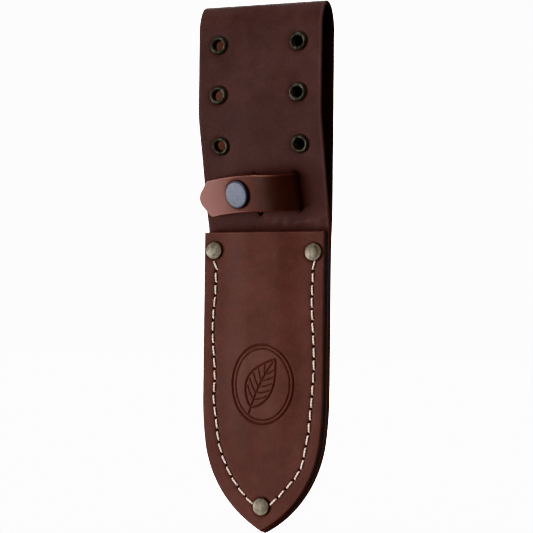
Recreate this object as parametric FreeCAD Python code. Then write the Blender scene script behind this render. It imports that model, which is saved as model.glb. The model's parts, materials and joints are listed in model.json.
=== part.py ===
import FreeCAD, Part
import math
import os

# Belt sheath for a digging knife: one long leather strip is folded over at the top
# to make the belt loop, a front panel and two welts make the blade pocket, and a
# short retention strap with a snap closes over the knife's handle.
#
# Everything is drawn in a tip frame: X to the right, Y from the front face of the
# pocket to its back, Z up from the tip of the front panel. save() moves it to the
# origin in the middle of the belt loop.

Vector = FreeCAD.Vector

# Leather thicknesses
FRONT_THICKNESS = 2.5
WELT_THICKNESS = 4.1
STRIP_THICKNESS = 2.7
STRAP_THICKNESS = 1.8
LAYER_GAP = 0.05          # between the two legs of the folded strip

# Pocket
POCKET_HEIGHT = 169.0
POCKET_HALF_WIDTH = 36.8
SHOULDER_HEIGHT = 76.0    # the sides are straight above this
SHOULDER_RADIUS = 200.0
SHOULDER_TURN = 7.5
WELT_TIP_DROP = 1.0       # each layer is cut a little longer than the one in front
STRIP_TIP_DROP = 2.0
BULGE = 2.0               # the front panel is moulded forward over the blade
BULGE_FLAT_SHARE = 0.3
BULGE_BOTTOM = 30.0
BULGE_FULL_HEIGHT = 75.0
BULGE_EDGE_MARGIN = 5.0   # from the stitch line to where the bulge starts
WELT_INSIDE_STITCH = 4.2  # the welt reaches this far inside the stitch line

# Long strip with the belt loop
STRIP_HALF_WIDTH = 37.6
STRIP_POCKET_HALF_WIDTH = 37.0
STRIP_TAPER_BOTTOM = 160.0
STRIP_TAPER_TOP = 182.0
LOOP_FRONT_Y = -9.4       # outside face of the upright part that carries the eyelets
LEAN = 14.0               # the strip leans forward above the pocket
LOWER_BEND_RADIUS = 17.5
UPPER_BEND_RADIUS = 50.0
UPRIGHT_BOTTOM = 241.5
UPRIGHT_TOP = 283.4
FOLD_SIDE_RADIUS = 22.0
FOLD_SIDE_TURN = 32.0
BELT_LOOP_HEIGHT = 260.0  # the belt loop's middle, which is the origin

# Eyelets
EYELET_COLUMN = 24.4
EYELET_SHIFT = -0.7       # the six are punched a little left of the middle
EYELET_TOP_ROW = 275.2
EYELET_PITCH = 28.6
EYELET_HOLE_RADIUS = 3.0
EYELET_BARREL_RADIUS = 3.45
EYELET_FLANGE_RADIUS = 5.3
EYELET_CROWN = 1.1
EYELET_LEATHER_HOLE = 3.55
WASHER_RADIUS = 5.2
WASHER_THICKNESS = 0.5

# Rivets
LEFT_RIVET = (-30.4, 158.5)
RIGHT_RIVET = (30.7, 157.3)
TIP_RIVET = (0.8, 13.6)
RIVET_CAP_RADIUS = 5.0
RIVET_CAP_CROWN = 1.8
RIVET_CAP_RIM = 0.5
RIVET_BASE_RADIUS = 4.5
RIVET_BASE_THICKNESS = 0.8
RIVET_POST_RADIUS = 1.6
RIVET_HOLE_RADIUS = 1.7

# Stitches
STITCH_X = 30.6
STITCH_SHIFT = 0.7        # the whole line is sewn a little right of the middle
STITCH_TOP = 152.8
STITCH_BEND_HEIGHT = 78.0
STITCH_BEND_RADIUS = 110.0
STITCH_BEND_TURN = 17.0
STITCH_END_HEIGHT = 11.0  # where the two lines would meet, under the tip rivet
STITCH_END_GAP = 6.3      # from there to the last stitch's end
STITCH_PITCH = 6.9
STITCH_LENGTH = 5.2
THREAD_RADIUS = 0.55

# Retention strap, in its own frame: u to the right along the strap, w outward
# from the leather, v up. Its origin is the middle of the right slot.
STRAP_WIDTH = 20.9
STRAP_BOW = 2.2           # the flap bows upward in the middle of its length
STRAP_RIGHT_SLOT_X = 20.5
STRAP_HEIGHT = 192.0
STRAP_SKEW = 3.5
SLOT_SPACING = 25.0
SLOT_WIDTH = 2.6
RIGHT_SLOT_LENGTH = 23.0
LEFT_SLOT_LENGTH = 25.0
SLOT_END_RADIUS = 1.6
STRAP_HINGE_W = 1.2
STRAP_START_HEADING = 95.0
STRAP_ROOT_LENGTH = 1.5
STRAP_ROOT_RADIUS = 8.0
STRAP_ROOT_TURN = 30.0
STRAP_CROWN_RADIUS = 14.0
STRAP_SLOPE = 14.0
STRAP_END_U = -60.8
STRAP_ROOT_U = STRAP_THICKNESS / 2
STRAP_POINT_LENGTH = 6.6
STRAP_POINT_RADIUS = 7.0
SNAP_U = -33.3
STRAP_RUN_RADIUS = 1.4    # bends of the hidden run, tight round the slots' edges
STRAP_RUN_GAP = 0.1
TAB_BEND_RADIUS = 2.6
TAB_START_HEADING = 100.0
TAB_PAST_STUD = 5.0       # straight until past the stud's flange
TAB_LAST_BEND_RADIUS = 8.0
TAB_END_LENGTH = 0.7
TAB_CORNER_RADIUS = 5.0
TAB_RISE = 1.3            # the tab sits this far above its slot's middle

# Snap fastener
CAP_RADIUS = 7.9
CAP_CROWN = 2.3
CAP_RIM = 0.6
CAP_BARREL_RADIUS = 1.9
SOCKET_RADIUS = 6.2
SOCKET_THICKNESS = 2.3
SOCKET_CAVITY_RADIUS = 3.4
SOCKET_CAVITY_DEPTH = 1.8
STUD_FLANGE_RADIUS = 4.8
STUD_FLANGE_THICKNESS = 0.8
STUD_NECK_RADIUS = 1.9
STUD_HEAD_RADIUS = 2.3
STUD_HEIGHT = 1.7
SNAP_CLEARANCE = 0.3
POST_FLANGE_RADIUS = 4.0
POST_FLANGE_THICKNESS = 0.6
POST_BARREL_RADIUS = 1.7
SNAP_HOLE_CLEARANCE = 0.1

# Places worked out from the sizes above
STRIP_FRONT_Y = FRONT_THICKNESS + WELT_THICKNESS
STRIP_MIDDLE_Y = STRIP_FRONT_Y + STRIP_THICKNESS / 2
REAR_LEG_MIDDLE_Y = STRIP_MIDDLE_Y + STRIP_THICKNESS + LAYER_GAP
BACK_Y = REAR_LEG_MIDDLE_Y + STRIP_THICKNESS / 2
LOOP_MIDDLE_Y = (LOOP_FRONT_Y + BACK_Y) / 2
FAR = 400.0


def cos(degrees):
    return math.cos(math.radians(degrees))


def sin(degrees):
    return math.sin(math.radians(degrees))


def smooth(t):
    """0 below 0, 1 above 1, and a smooth step between them."""
    t = min(1.0, max(0.0, t))
    return t * t * (3 - 2 * t)


def save(name, shape):
    """Writes one node, moved from the tip frame to the middle of the belt loop."""
    moved = shape.copy()
    moved.translate(Vector(0, -LOOP_MIDDLE_Y, -BELT_LOOP_HEIGHT))
    moved.exportStep("parts/" + name + ".step")
    print(f"{name:24s} solids {len(shape.Solids):3d} valid {shape.isValid()} volume {shape.Volume:9.2f}")


# Flat paths made of lines and arcs

def walk(start, heading, moves, side=0.0):
    """Points of a path that is side to the left of the walked line.

    A move is (length,) for a line or (radius, turn) for an arc, and a positive
    turn is to the left. It returns a list of (start, middle, end), where middle
    is None for a line."""
    x, y = start
    pieces = []

    def shifted(px, py, angle):
        return (px - side * sin(angle), py + side * cos(angle))

    for move in moves:
        first = shifted(x, y, heading)
        if len(move) == 1:
            x, y = x + move[0] * cos(heading), y + move[0] * sin(heading)
            middle = None
        else:
            radius, turn = move
            way = math.copysign(1, turn)
            centre_x, centre_y = x - way * radius * sin(heading), y + way * radius * cos(heading)

            def on_arc(angle):
                return (centre_x + way * radius * sin(angle), centre_y - way * radius * cos(angle))

            half = heading + turn / 2
            middle = shifted(*on_arc(half), half)
            heading += turn
            x, y = on_arc(heading)
        pieces.append((first, middle, shifted(x, y, heading)))
    return pieces


def edges(pieces, place):
    """FreeCAD edges for walked pieces; place turns a flat point into a Vector."""
    made = []
    for first, middle, last in pieces:
        if middle is None:
            made.append(Part.makeLine(place(*first), place(*last)))
        else:
            made.append(Part.Arc(place(*first), place(*middle), place(*last)).toShape())
    return made


def ribbon_face(start, heading, moves, thickness, place):
    """A strip of constant thickness seen edge on, as a face."""
    left = walk(start, heading, moves, thickness / 2)
    right = walk(start, heading, moves, -thickness / 2)
    caps = [
        Part.makeLine(place(*left[-1][2]), place(*right[-1][2])),
        Part.makeLine(place(*right[0][0]), place(*left[0][0])),
    ]
    loop = Part.__sortEdges__(edges(left, place) + edges(right, place) + caps)
    return Part.Face(Part.Wire(loop))


def front_view(x, height):
    return Vector(x, 0, height)


def side_view(y, height):
    return Vector(0, y, height)


def mirrored(points):
    """The same outline pieces on the other side of X = 0, walked backwards."""
    flipped = []
    for first, middle, last in reversed(points):
        flipped.append(((-last[0], last[1]), middle and (-middle[0], middle[1]), (-first[0], first[1])))
    return flipped


# Outlines seen from the front

def arc_to(start, heading, end):
    """(start, middle, end) of the arc that leaves start along heading and reaches end."""
    dx, dy = end[0] - start[0], end[1] - start[1]
    normal_x, normal_y = -sin(heading), cos(heading)
    radius = (dx * dx + dy * dy) / (2 * (dx * normal_x + dy * normal_y))
    centre_x, centre_y = start[0] + radius * normal_x, start[1] + radius * normal_y
    mx = (start[0] + end[0]) / 2 - centre_x
    my = (start[1] + end[1]) / 2 - centre_y
    stretch = abs(radius) / math.hypot(mx, my)
    return (start, (centre_x + mx * stretch, centre_y + my * stretch), end)


def pocket_side(half_width, tip_drop):
    """Right side of the pocket from the straight part down to the tip."""
    down = -90.0
    shoulder = walk((half_width, SHOULDER_HEIGHT), down, [(SHOULDER_RADIUS, -SHOULDER_TURN)])
    tip_arc = arc_to(shoulder[-1][2], down - SHOULDER_TURN, (0.0, -tip_drop))
    return shoulder + [tip_arc]


def outline_solid(right_side, top):
    """The whole width of an outline, from its tip to the height top, deep along Y."""
    upper = (right_side[0][0][0], top)
    pieces = [(upper, None, right_side[0][0])] + right_side
    pieces += mirrored(pieces)
    pieces.append(((-upper[0], top), None, upper))
    face = Part.Face(Part.Wire(Part.__sortEdges__(edges(pieces, front_view))))
    face.translate(Vector(0, -FAR / 2, 0))
    return face.extrude(Vector(0, FAR, 0))


def stitch_line():
    """Half of the stitch line, from the mouth to below the tip rivet."""
    straight = STITCH_TOP - STITCH_BEND_HEIGHT
    pieces = walk((STITCH_X, STITCH_TOP), -90.0, [(straight,), (STITCH_BEND_RADIUS, -STITCH_BEND_TURN)])
    return pieces + [arc_to(pieces[-1][2], -90.0 - STITCH_BEND_TURN, (0.0, STITCH_END_HEIGHT))]


def stitch_wire():
    """The stitch line as one wire in the plane Y = 0."""
    return Part.Wire(Part.__sortEdges__(edges(stitch_line(), front_view)))


def stitch_x(wire, height):
    """Half width of the stitched shape at a height, or at its nearest end."""
    level = Part.makeLine(Vector(-FAR, 0, height), Vector(FAR, 0, height))
    nearest = wire.distToShape(level)[1][0][0]
    return nearest.x


# Leather

def strip_side_view():
    """The folded strip seen from its side: up the pocket, round the loop, down the back."""
    bend_rise = (LOWER_BEND_RADIUS + UPPER_BEND_RADIUS) * sin(LEAN)
    lean_bottom = UPRIGHT_BOTTOM - bend_rise - lean_length() * cos(LEAN)
    half_depth = (BACK_Y - LOOP_FRONT_Y) / 2 - STRIP_THICKNESS / 2
    side_radius = FOLD_SIDE_RADIUS - STRIP_THICKNESS / 2
    side_run = side_radius * (1 - cos(FOLD_SIDE_TURN))
    top_radius = (half_depth - side_run) / cos(FOLD_SIDE_TURN)
    moves = [
        (lean_bottom + STRIP_TIP_DROP,),
        (LOWER_BEND_RADIUS, LEAN),
        (lean_length(),),
        (UPPER_BEND_RADIUS, -LEAN),
        (UPRIGHT_TOP - UPRIGHT_BOTTOM,),
        (side_radius, -FOLD_SIDE_TURN),
        (top_radius, -(180.0 - 2 * FOLD_SIDE_TURN)),
        (side_radius, -FOLD_SIDE_TURN),
        (UPRIGHT_TOP + STRIP_TIP_DROP,),
    ]
    return ribbon_face((STRIP_MIDDLE_Y, -STRIP_TIP_DROP), 90.0, moves, STRIP_THICKNESS, side_view)


def lean_length():
    """Length of the strip's straight part between its two bends."""
    run = STRIP_FRONT_Y - LOOP_FRONT_Y
    run -= (LOWER_BEND_RADIUS + UPPER_BEND_RADIUS) * (1 - cos(LEAN))
    return run / sin(LEAN)


def lean_face_y(height):
    """Y of the strip's front face at a height on its leaning straight part."""
    top_height = UPRIGHT_BOTTOM - UPPER_BEND_RADIUS * sin(LEAN)
    top_y = LOOP_FRONT_Y + STRIP_THICKNESS / 2 + UPPER_BEND_RADIUS * (1 - cos(LEAN))
    middle_y = top_y + (top_height - height) * math.tan(math.radians(LEAN))
    return middle_y - STRIP_THICKNESS / 2 / cos(LEAN)


def rivet_places():
    return {"left": LEFT_RIVET, "right": RIGHT_RIVET, "tip": TIP_RIVET}


def rivet_holes():
    holes = []
    for x, height in rivet_places().values():
        holes.append(Part.makeCylinder(RIVET_HOLE_RADIUS, FAR, Vector(x, -FAR / 2, height), Vector(0, 1, 0)))
    return Part.makeCompound(holes)


def placed(shape, place):
    moved = shape.copy()
    moved.Placement = place.multiply(moved.Placement)
    return moved


def punch(radius, thickness):
    """A cutter along Y for a round hole in leather that has a face at Y = 0."""
    return Part.makeCylinder(radius, 4 * thickness, Vector(0, -2 * thickness, 0), Vector(0, 1, 0))


def lean_placement(x, height):
    """A frame on the leaning face, whose -Y points straight out of the leather."""
    turn = FreeCAD.Rotation(Vector(1, 0, 0), LEAN)
    return FreeCAD.Placement(Vector(x, lean_face_y(height), height), turn)


def eyelet_placements():
    places = {}
    rows = ["top", "middle", "lower"]
    for row, name in enumerate(rows):
        height = EYELET_TOP_ROW - row * EYELET_PITCH
        for side, x in (("left", EYELET_SHIFT - EYELET_COLUMN), ("right", EYELET_SHIFT + EYELET_COLUMN)):
            if name == "lower":
                place = lean_placement(x, height)
            else:
                place = FreeCAD.Placement(Vector(x, LOOP_FRONT_Y, height), FreeCAD.Rotation())
            places[name + "_" + side] = place
    return places


def strap_placement():
    """The strap's frame, on the leaning face at the right slot."""
    skew = FreeCAD.Placement(Vector(), FreeCAD.Rotation(Vector(0, 1, 0), -STRAP_SKEW))
    return lean_placement(STRAP_RIGHT_SLOT_X, STRAP_HEIGHT).multiply(skew)


def slot_cutter(u, length):
    """A slot for the strap with a round punched hole at each end."""
    depth = 2 * STRIP_THICKNESS
    reach = length / 2 - SLOT_END_RADIUS
    cutter = Part.makeBox(SLOT_WIDTH, 2 * depth, 2 * reach, Vector(u - SLOT_WIDTH / 2, -depth, -reach))
    for end in (-reach, reach):
        hole = Part.makeCylinder(SLOT_END_RADIUS, 2 * depth, Vector(u, -depth, end), Vector(0, 1, 0))
        cutter = cutter.fuse(hole)
    return placed(cutter, strap_placement())


def back_strip():
    side = strip_side_view()
    side.translate(Vector(-FAR / 2, 0, 0))
    solid = side.extrude(Vector(FAR, 0, 0))
    right = [
        ((STRIP_HALF_WIDTH, STRIP_TAPER_TOP), None, (STRIP_POCKET_HALF_WIDTH, STRIP_TAPER_BOTTOM)),
        ((STRIP_POCKET_HALF_WIDTH, STRIP_TAPER_BOTTOM), None, (STRIP_POCKET_HALF_WIDTH, SHOULDER_HEIGHT)),
    ]
    right += pocket_side(STRIP_POCKET_HALF_WIDTH, STRIP_TIP_DROP)
    solid = solid.common(outline_solid(right, FAR))
    solid = solid.cut(rivet_holes())
    for place in eyelet_placements().values():
        solid = solid.cut(placed(punch(EYELET_LEATHER_HOLE, STRIP_THICKNESS), place))
    for u, length in ((0.0, RIGHT_SLOT_LENGTH), (-SLOT_SPACING, LEFT_SLOT_LENGTH)):
        solid = solid.cut(slot_cutter(u, length))
    return solid


def bulge(x, height, sewn_x):
    """How far the front panel is moulded forward at a point; sewn_x is the half width there."""
    edge = max(1.0, sewn_x - BULGE_EDGE_MARGIN)
    across = (abs(x) / edge - BULGE_FLAT_SHARE) / (1 - BULGE_FLAT_SHARE)
    along = (height - BULGE_BOTTOM) / (BULGE_FULL_HEIGHT - BULGE_BOTTOM)
    return BULGE * (1 - smooth(across)) * smooth(along)


def front_panel():
    """The moulded front: a smooth face, given its thickness and cut to the outline."""
    columns, rows = 25, 25
    wire = stitch_wire()
    bottom, top = -10.0, POCKET_HEIGHT + 10.0
    span = POCKET_HALF_WIDTH + 4.0
    grid = []
    for row in range(rows):
        height = bottom + (top - bottom) * row / (rows - 1)
        sewn_x = stitch_x(wire, height)
        line = []
        for column in range(columns):
            x = -span + 2 * span * column / (columns - 1)
            line.append(Vector(x, -bulge(x, height, sewn_x), height))
        grid.append(line)
    surface = Part.BSplineSurface()
    surface.interpolate(grid)
    solid = surface.toShape().extrude(Vector(0, FRONT_THICKNESS, 0))
    solid = solid.common(outline_solid(pocket_side(POCKET_HALF_WIDTH, 0.0), POCKET_HEIGHT))
    return solid.cut(rivet_holes())


def welts():
    """Left and right welt: the pocket's rim, cut out inside the stitch line."""
    rim = outline_solid(pocket_side(POCKET_HALF_WIDTH, WELT_TIP_DROP), POCKET_HEIGHT)
    straight = POCKET_HEIGHT - STITCH_BEND_HEIGHT
    inside = walk(
        (STITCH_X, POCKET_HEIGHT), -90.0,
        [(straight,), (STITCH_BEND_RADIUS, -STITCH_BEND_TURN)],
        -WELT_INSIDE_STITCH,
    )
    apex_height = TIP_RIVET[1] + RIVET_CAP_RADIUS + 3.8
    inside.append(arc_to(inside[-1][2], -90.0 - STITCH_BEND_TURN, (0.0, apex_height)))
    cavity = outline_solid(inside, POCKET_HEIGHT + 1.0)
    slab = Part.makeBox(FAR, WELT_THICKNESS, FAR, Vector(-FAR / 2, FRONT_THICKNESS, -FAR / 2))
    ring = slab.common(rim).cut(cavity).cut(rivet_holes())
    half = Part.makeBox(FAR, FAR, FAR, Vector(0, -FAR / 2, -FAR / 2))
    return {"left": ring.cut(half), "right": ring.common(half)}


# Strap

def strap_view(u, w):
    return Vector(u, -w, 0)


def strap_extrusion(face, width, middle_v=0.0):
    face.translate(Vector(0, 0, middle_v - width / 2))
    return face.extrude(Vector(0, 0, width))


def strap_rise(u):
    """How far the flap's centre line is above the slot's middle."""
    shoulder_u = STRAP_END_U + STRAP_POINT_LENGTH
    middle, reach = (STRAP_ROOT_U + shoulder_u) / 2, (STRAP_ROOT_U - shoulder_u) / 2
    return STRAP_BOW * (1 - ((u - middle) / reach) ** 2)


def strap_outline():
    """The flap seen along w: a blunt point at the left end, square at the right."""
    half = STRAP_WIDTH / 2
    shoulder_u = STRAP_END_U + STRAP_POINT_LENGTH
    middle_u = (STRAP_ROOT_U + shoulder_u) / 2
    slope = math.degrees(math.atan2(half, STRAP_POINT_LENGTH))
    touch_u = STRAP_END_U + STRAP_POINT_RADIUS * (1 - sin(slope))
    touch_v = STRAP_POINT_RADIUS * cos(slope)

    def side(v):
        ends = Vector(shoulder_u, 0, v), Vector(STRAP_ROOT_U, 0, v)
        return Part.Arc(ends[0], Vector(middle_u, 0, v + STRAP_BOW), ends[1]).toShape()

    outline = [
        side(-half),
        Part.makeLine(Vector(shoulder_u, 0, -half), Vector(touch_u, 0, -touch_v)),
        Part.Arc(Vector(touch_u, 0, -touch_v), Vector(STRAP_END_U, 0, 0), Vector(touch_u, 0, touch_v)).toShape(),
        Part.makeLine(Vector(touch_u, 0, touch_v), Vector(shoulder_u, 0, half)),
        side(half),
        Part.makeLine(Vector(STRAP_ROOT_U, 0, half), Vector(STRAP_ROOT_U, 0, -half)),
    ]
    face = Part.Face(Part.Wire(Part.__sortEdges__(outline)))
    face.translate(Vector(0, -FAR / 2, 0))
    return face.extrude(Vector(0, FAR, 0))


def root_roll(u, middle_v=0.0):
    """Round end of a strap piece at its fold line."""
    bottom = Vector(u, -STRAP_HINGE_W, middle_v - STRAP_WIDTH / 2)
    return Part.makeCylinder(STRAP_THICKNESS / 2, STRAP_WIDTH, bottom, Vector(0, 0, 1))


def flap_crown():
    """Where the flap's straight part starts, and the moves that lead there."""
    crown_turn = 180.0 + STRAP_SLOPE - STRAP_START_HEADING - STRAP_ROOT_TURN
    moves = [
        (STRAP_ROOT_LENGTH,),
        (STRAP_ROOT_RADIUS, STRAP_ROOT_TURN),
        (STRAP_CROWN_RADIUS, crown_turn),
    ]
    last = walk((0.0, STRAP_HINGE_W), STRAP_START_HEADING, moves)[-1][2]
    return last, moves


def snap_centre():
    """(u, w) on the middle of the flap's leather at the snap."""
    (u, w), _ = flap_crown()
    return SNAP_U, w - (u - SNAP_U) * math.tan(math.radians(STRAP_SLOPE))


def snap_placement(drop):
    """A frame at the snap whose -Y is the cap's outward axis, drop below the flap's middle."""
    u, w = snap_centre()
    u, w = u + drop * sin(STRAP_SLOPE), w - drop * cos(STRAP_SLOPE)
    turn = FreeCAD.Rotation(Vector(0, 0, 1), -STRAP_SLOPE)
    centre = strap_view(u, w) + Vector(0, 0, strap_rise(SNAP_U))
    return strap_placement().multiply(FreeCAD.Placement(centre, turn))


def strap_flap():
    (u, _), moves = flap_crown()
    moves = moves + [((u - STRAP_END_U) / cos(STRAP_SLOPE),)]
    face = ribbon_face((0.0, STRAP_HINGE_W), STRAP_START_HEADING, moves, STRAP_THICKNESS, strap_view)
    solid = strap_extrusion(face, STRAP_WIDTH + 4 * STRAP_BOW).common(strap_outline())
    solid = placed(solid.fuse(root_roll(0.0)).removeSplitter(), strap_placement())
    hole = punch(CAP_BARREL_RADIUS + SNAP_HOLE_CLEARANCE, STRAP_THICKNESS)
    return solid.cut(placed(hole, snap_placement(0.0)))


def tab_drop():
    """From the middle of the flap's leather to the middle of the tab's, at the snap."""
    return STRAP_THICKNESS + STUD_FLANGE_THICKNESS + SNAP_CLEARANCE + SOCKET_THICKNESS


def strap_tab():
    """The short end of the strap, which carries the stud."""
    snap_u, snap_w = snap_centre()
    stud_u = snap_u + tab_drop() * sin(STRAP_SLOPE)
    stud_w = snap_w - tab_drop() * cos(STRAP_SLOPE)
    turn = 180.0 + STRAP_SLOPE - TAB_START_HEADING
    bend_u = TAB_BEND_RADIUS * (sin(180.0 + STRAP_SLOPE) - sin(TAB_START_HEADING))
    bend_w = TAB_BEND_RADIUS * (cos(TAB_START_HEADING) - cos(180.0 + STRAP_SLOPE))
    slope = math.tan(math.radians(STRAP_SLOPE))
    # length of the first straight, so that the bend ends in line with the stud
    gap = stud_w + (-SLOT_SPACING + bend_u - stud_u) * slope - STRAP_HINGE_W - bend_w
    root_length = gap / (sin(TAB_START_HEADING) - cos(TAB_START_HEADING) * slope)
    bend_end_u = -SLOT_SPACING + root_length * cos(TAB_START_HEADING) + bend_u
    moves = [
        (root_length,),
        (TAB_BEND_RADIUS, turn),
        ((bend_end_u - stud_u) / cos(STRAP_SLOPE) + TAB_PAST_STUD,),
        (TAB_LAST_BEND_RADIUS, -STRAP_SLOPE),
        (TAB_END_LENGTH,),
    ]
    start = (-SLOT_SPACING, STRAP_HINGE_W)
    face = ribbon_face(start, TAB_START_HEADING, moves, STRAP_THICKNESS, strap_view)
    solid = strap_extrusion(face, STRAP_WIDTH, TAB_RISE).fuse(root_roll(-SLOT_SPACING, TAB_RISE)).removeSplitter()
    corners = [
        edge for edge in solid.Edges
        if edge.BoundBox.XMax < solid.BoundBox.XMin + 0.1 and edge.BoundBox.YLength > STRAP_THICKNESS / 2
    ]
    solid = solid.makeFillet(TAB_CORNER_RADIUS, corners)
    solid = placed(solid, strap_placement())
    hole = punch(POST_BARREL_RADIUS + SNAP_HOLE_CLEARANCE, STRAP_THICKNESS)
    return solid.cut(placed(hole, snap_placement(tab_drop())))


def strap_back_run():
    """The hidden run of the strap, in through one slot and out through the other."""
    depth = STRIP_THICKNESS + STRAP_RUN_GAP + STRAP_THICKNESS / 2
    through = depth - STRAP_RUN_RADIUS
    moves = [
        (through,),
        (STRAP_RUN_RADIUS, -90.0),
        (SLOT_SPACING - 2 * STRAP_RUN_RADIUS,),
        (STRAP_RUN_RADIUS, -90.0),
        (through,),
    ]
    face = ribbon_face((0.0, 0.0), -90.0, moves, STRAP_THICKNESS, strap_view)
    return placed(strap_extrusion(face, STRAP_WIDTH), strap_placement())


# Metal parts. Each is turned about its own axis, with -Y pointing out of the leather.

def turned(points_and_arcs):
    """A solid turned about the Y axis from pieces of (radius, out) points."""
    def place(radius, out):
        return Vector(radius, -out, 0)

    face = Part.Face(Part.Wire(Part.__sortEdges__(edges(points_and_arcs, place))))
    return face.revolve(Vector(0, 0, 0), Vector(0, 1, 0), 360)


def polygon(points):
    return [(points[i], None, points[(i + 1) % len(points)]) for i in range(len(points))]


def dome(radius, rim, crown, barrel_radius=0.0, barrel_length=0.0):
    """A domed cap that stands on out = 0, with an optional barrel below it."""
    sphere = (radius * radius + (crown - rim) ** 2) / (2 * (crown - rim))
    half_angle = math.degrees(math.asin(radius / sphere)) / 2
    middle = (sphere * sin(half_angle), crown - sphere * (1 - cos(half_angle)))
    pieces = [((0, crown), middle, (radius, rim)), ((radius, rim), None, (radius, 0))]
    if barrel_length:
        corners = [(radius, 0), (barrel_radius, 0), (barrel_radius, -barrel_length), (0, -barrel_length)]
    else:
        corners = [(radius, 0), (0, 0)]
    for first, last in zip(corners, corners[1:]):
        pieces.append((first, None, last))
    pieces.append((corners[-1], None, (0, crown)))
    return turned(pieces)


def eyelet():
    """Barrel with a rounded flange in front and a rolled edge behind the washer."""
    crown_radius = (EYELET_HOLE_RADIUS + EYELET_FLANGE_RADIUS) / 2
    back = STRIP_THICKNESS + WASHER_THICKNESS
    roll = 0.6
    lip = 0.45
    pieces = [
        ((EYELET_HOLE_RADIUS, lip), (crown_radius, EYELET_CROWN), (EYELET_FLANGE_RADIUS, 0.0)),
        ((EYELET_FLANGE_RADIUS, 0.0), None, (EYELET_BARREL_RADIUS, 0.0)),
        ((EYELET_BARREL_RADIUS, 0.0), None, (EYELET_BARREL_RADIUS, -back)),
        ((EYELET_BARREL_RADIUS, -back), None, (EYELET_BARREL_RADIUS + 2 * roll, -back)),
        ((EYELET_BARREL_RADIUS + 2 * roll, -back), (EYELET_BARREL_RADIUS + roll, -back - roll),
         (EYELET_HOLE_RADIUS, -back - 0.1)),
        ((EYELET_HOLE_RADIUS, -back - 0.1), None, (EYELET_HOLE_RADIUS, lip)),
    ]
    return turned(pieces)


def eyelet_washer():
    inner = EYELET_LEATHER_HOLE
    front, back = -STRIP_THICKNESS, -STRIP_THICKNESS - WASHER_THICKNESS
    return turned(polygon([(inner, front), (WASHER_RADIUS, front), (WASHER_RADIUS, back), (inner, back)]))


def rivet_cap():
    return dome(RIVET_CAP_RADIUS, RIVET_CAP_RIM, RIVET_CAP_CROWN)


def rivet_post():
    """Post through the whole stack, with its flat base against the back."""
    base_out = -BACK_Y - RIVET_BASE_THICKNESS
    bevel = 0.4
    return turned(polygon([
        (0, 0), (RIVET_POST_RADIUS, 0), (RIVET_POST_RADIUS, -BACK_Y), (RIVET_BASE_RADIUS, -BACK_Y),
        (RIVET_BASE_RADIUS, base_out + bevel), (RIVET_BASE_RADIUS - bevel, base_out), (0, base_out),
    ]))


def snap_cap():
    shape = dome(CAP_RADIUS, CAP_RIM, CAP_CROWN, CAP_BARREL_RADIUS, STRAP_THICKNESS)
    return placed(shape, snap_placement(-STRAP_THICKNESS / 2))


def snap_socket():
    """Cup under the flap. Its cavity is open downwards, wide enough to swing off the stud."""
    bottom = -SOCKET_THICKNESS
    ceiling = bottom + SOCKET_CAVITY_DEPTH
    shape = turned(polygon([
        (0, 0), (SOCKET_RADIUS, 0), (SOCKET_RADIUS, bottom), (SOCKET_CAVITY_RADIUS, bottom),
        (SOCKET_CAVITY_RADIUS, ceiling), (0, ceiling),
    ]))
    return placed(shape, snap_placement(STRAP_THICKNESS / 2))


def snap_stud():
    shape = turned(polygon([
        (0, 0), (STUD_FLANGE_RADIUS, 0), (STUD_FLANGE_RADIUS, STUD_FLANGE_THICKNESS),
        (STUD_NECK_RADIUS, STUD_FLANGE_THICKNESS),
        (STUD_NECK_RADIUS, STUD_FLANGE_THICKNESS + STUD_HEIGHT / 2),
        (STUD_HEAD_RADIUS, STUD_FLANGE_THICKNESS + 0.7 * STUD_HEIGHT),
        (STUD_NECK_RADIUS, STUD_FLANGE_THICKNESS + STUD_HEIGHT),
        (0, STUD_FLANGE_THICKNESS + STUD_HEIGHT),
    ]))
    return placed(shape, snap_placement(tab_drop() - STRAP_THICKNESS / 2))


def snap_post():
    """Rivet part under the tab, whose barrel holds the stud."""
    shape = turned(polygon([
        (0, 0), (POST_BARREL_RADIUS, 0), (POST_BARREL_RADIUS, -STRAP_THICKNESS),
        (POST_FLANGE_RADIUS, -STRAP_THICKNESS),
        (POST_FLANGE_RADIUS, -STRAP_THICKNESS - POST_FLANGE_THICKNESS),
        (0, -STRAP_THICKNESS - POST_FLANGE_THICKNESS),
    ]))
    return placed(shape, snap_placement(tab_drop() - STRAP_THICKNESS / 2))


# Thread

def stitch(x, height, direction_x, direction_z, y):
    """One visible stitch: a round-ended rod that lies on the leather."""
    half = STITCH_LENGTH / 2 - THREAD_RADIUS
    along = Vector(direction_x, 0, direction_z)
    centre = Vector(x, y, height)
    rod = Part.makeCylinder(THREAD_RADIUS, 2 * half, centre - along * half, along)
    for end in (-half, half):
        rod = rod.fuse(Part.makeSphere(THREAD_RADIUS, centre + along * end))
    return rod


def thread(side):
    """All the stitches of one side, front and back."""
    line = stitch_wire()
    length = line.Length - STITCH_END_GAP
    count = int((length - STITCH_LENGTH) // STITCH_PITCH) + 1
    first = (length - (count - 1) * STITCH_PITCH) / 2
    places = line.discretize(Distance=STITCH_PITCH / 20)
    stitches = []
    for number in range(count):
        travelled = (first + number * STITCH_PITCH) / line.Length
        spot = int(travelled * (len(places) - 1))
        point, following = places[spot], places[spot + 1]
        way = (following - point).normalize()
        for y in (-THREAD_RADIUS, BACK_Y + THREAD_RADIUS):
            stitches.append(stitch(side * point.x + STITCH_SHIFT, point.z, side * way.x, way.z, y))
    return Part.makeCompound(stitches)


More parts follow.
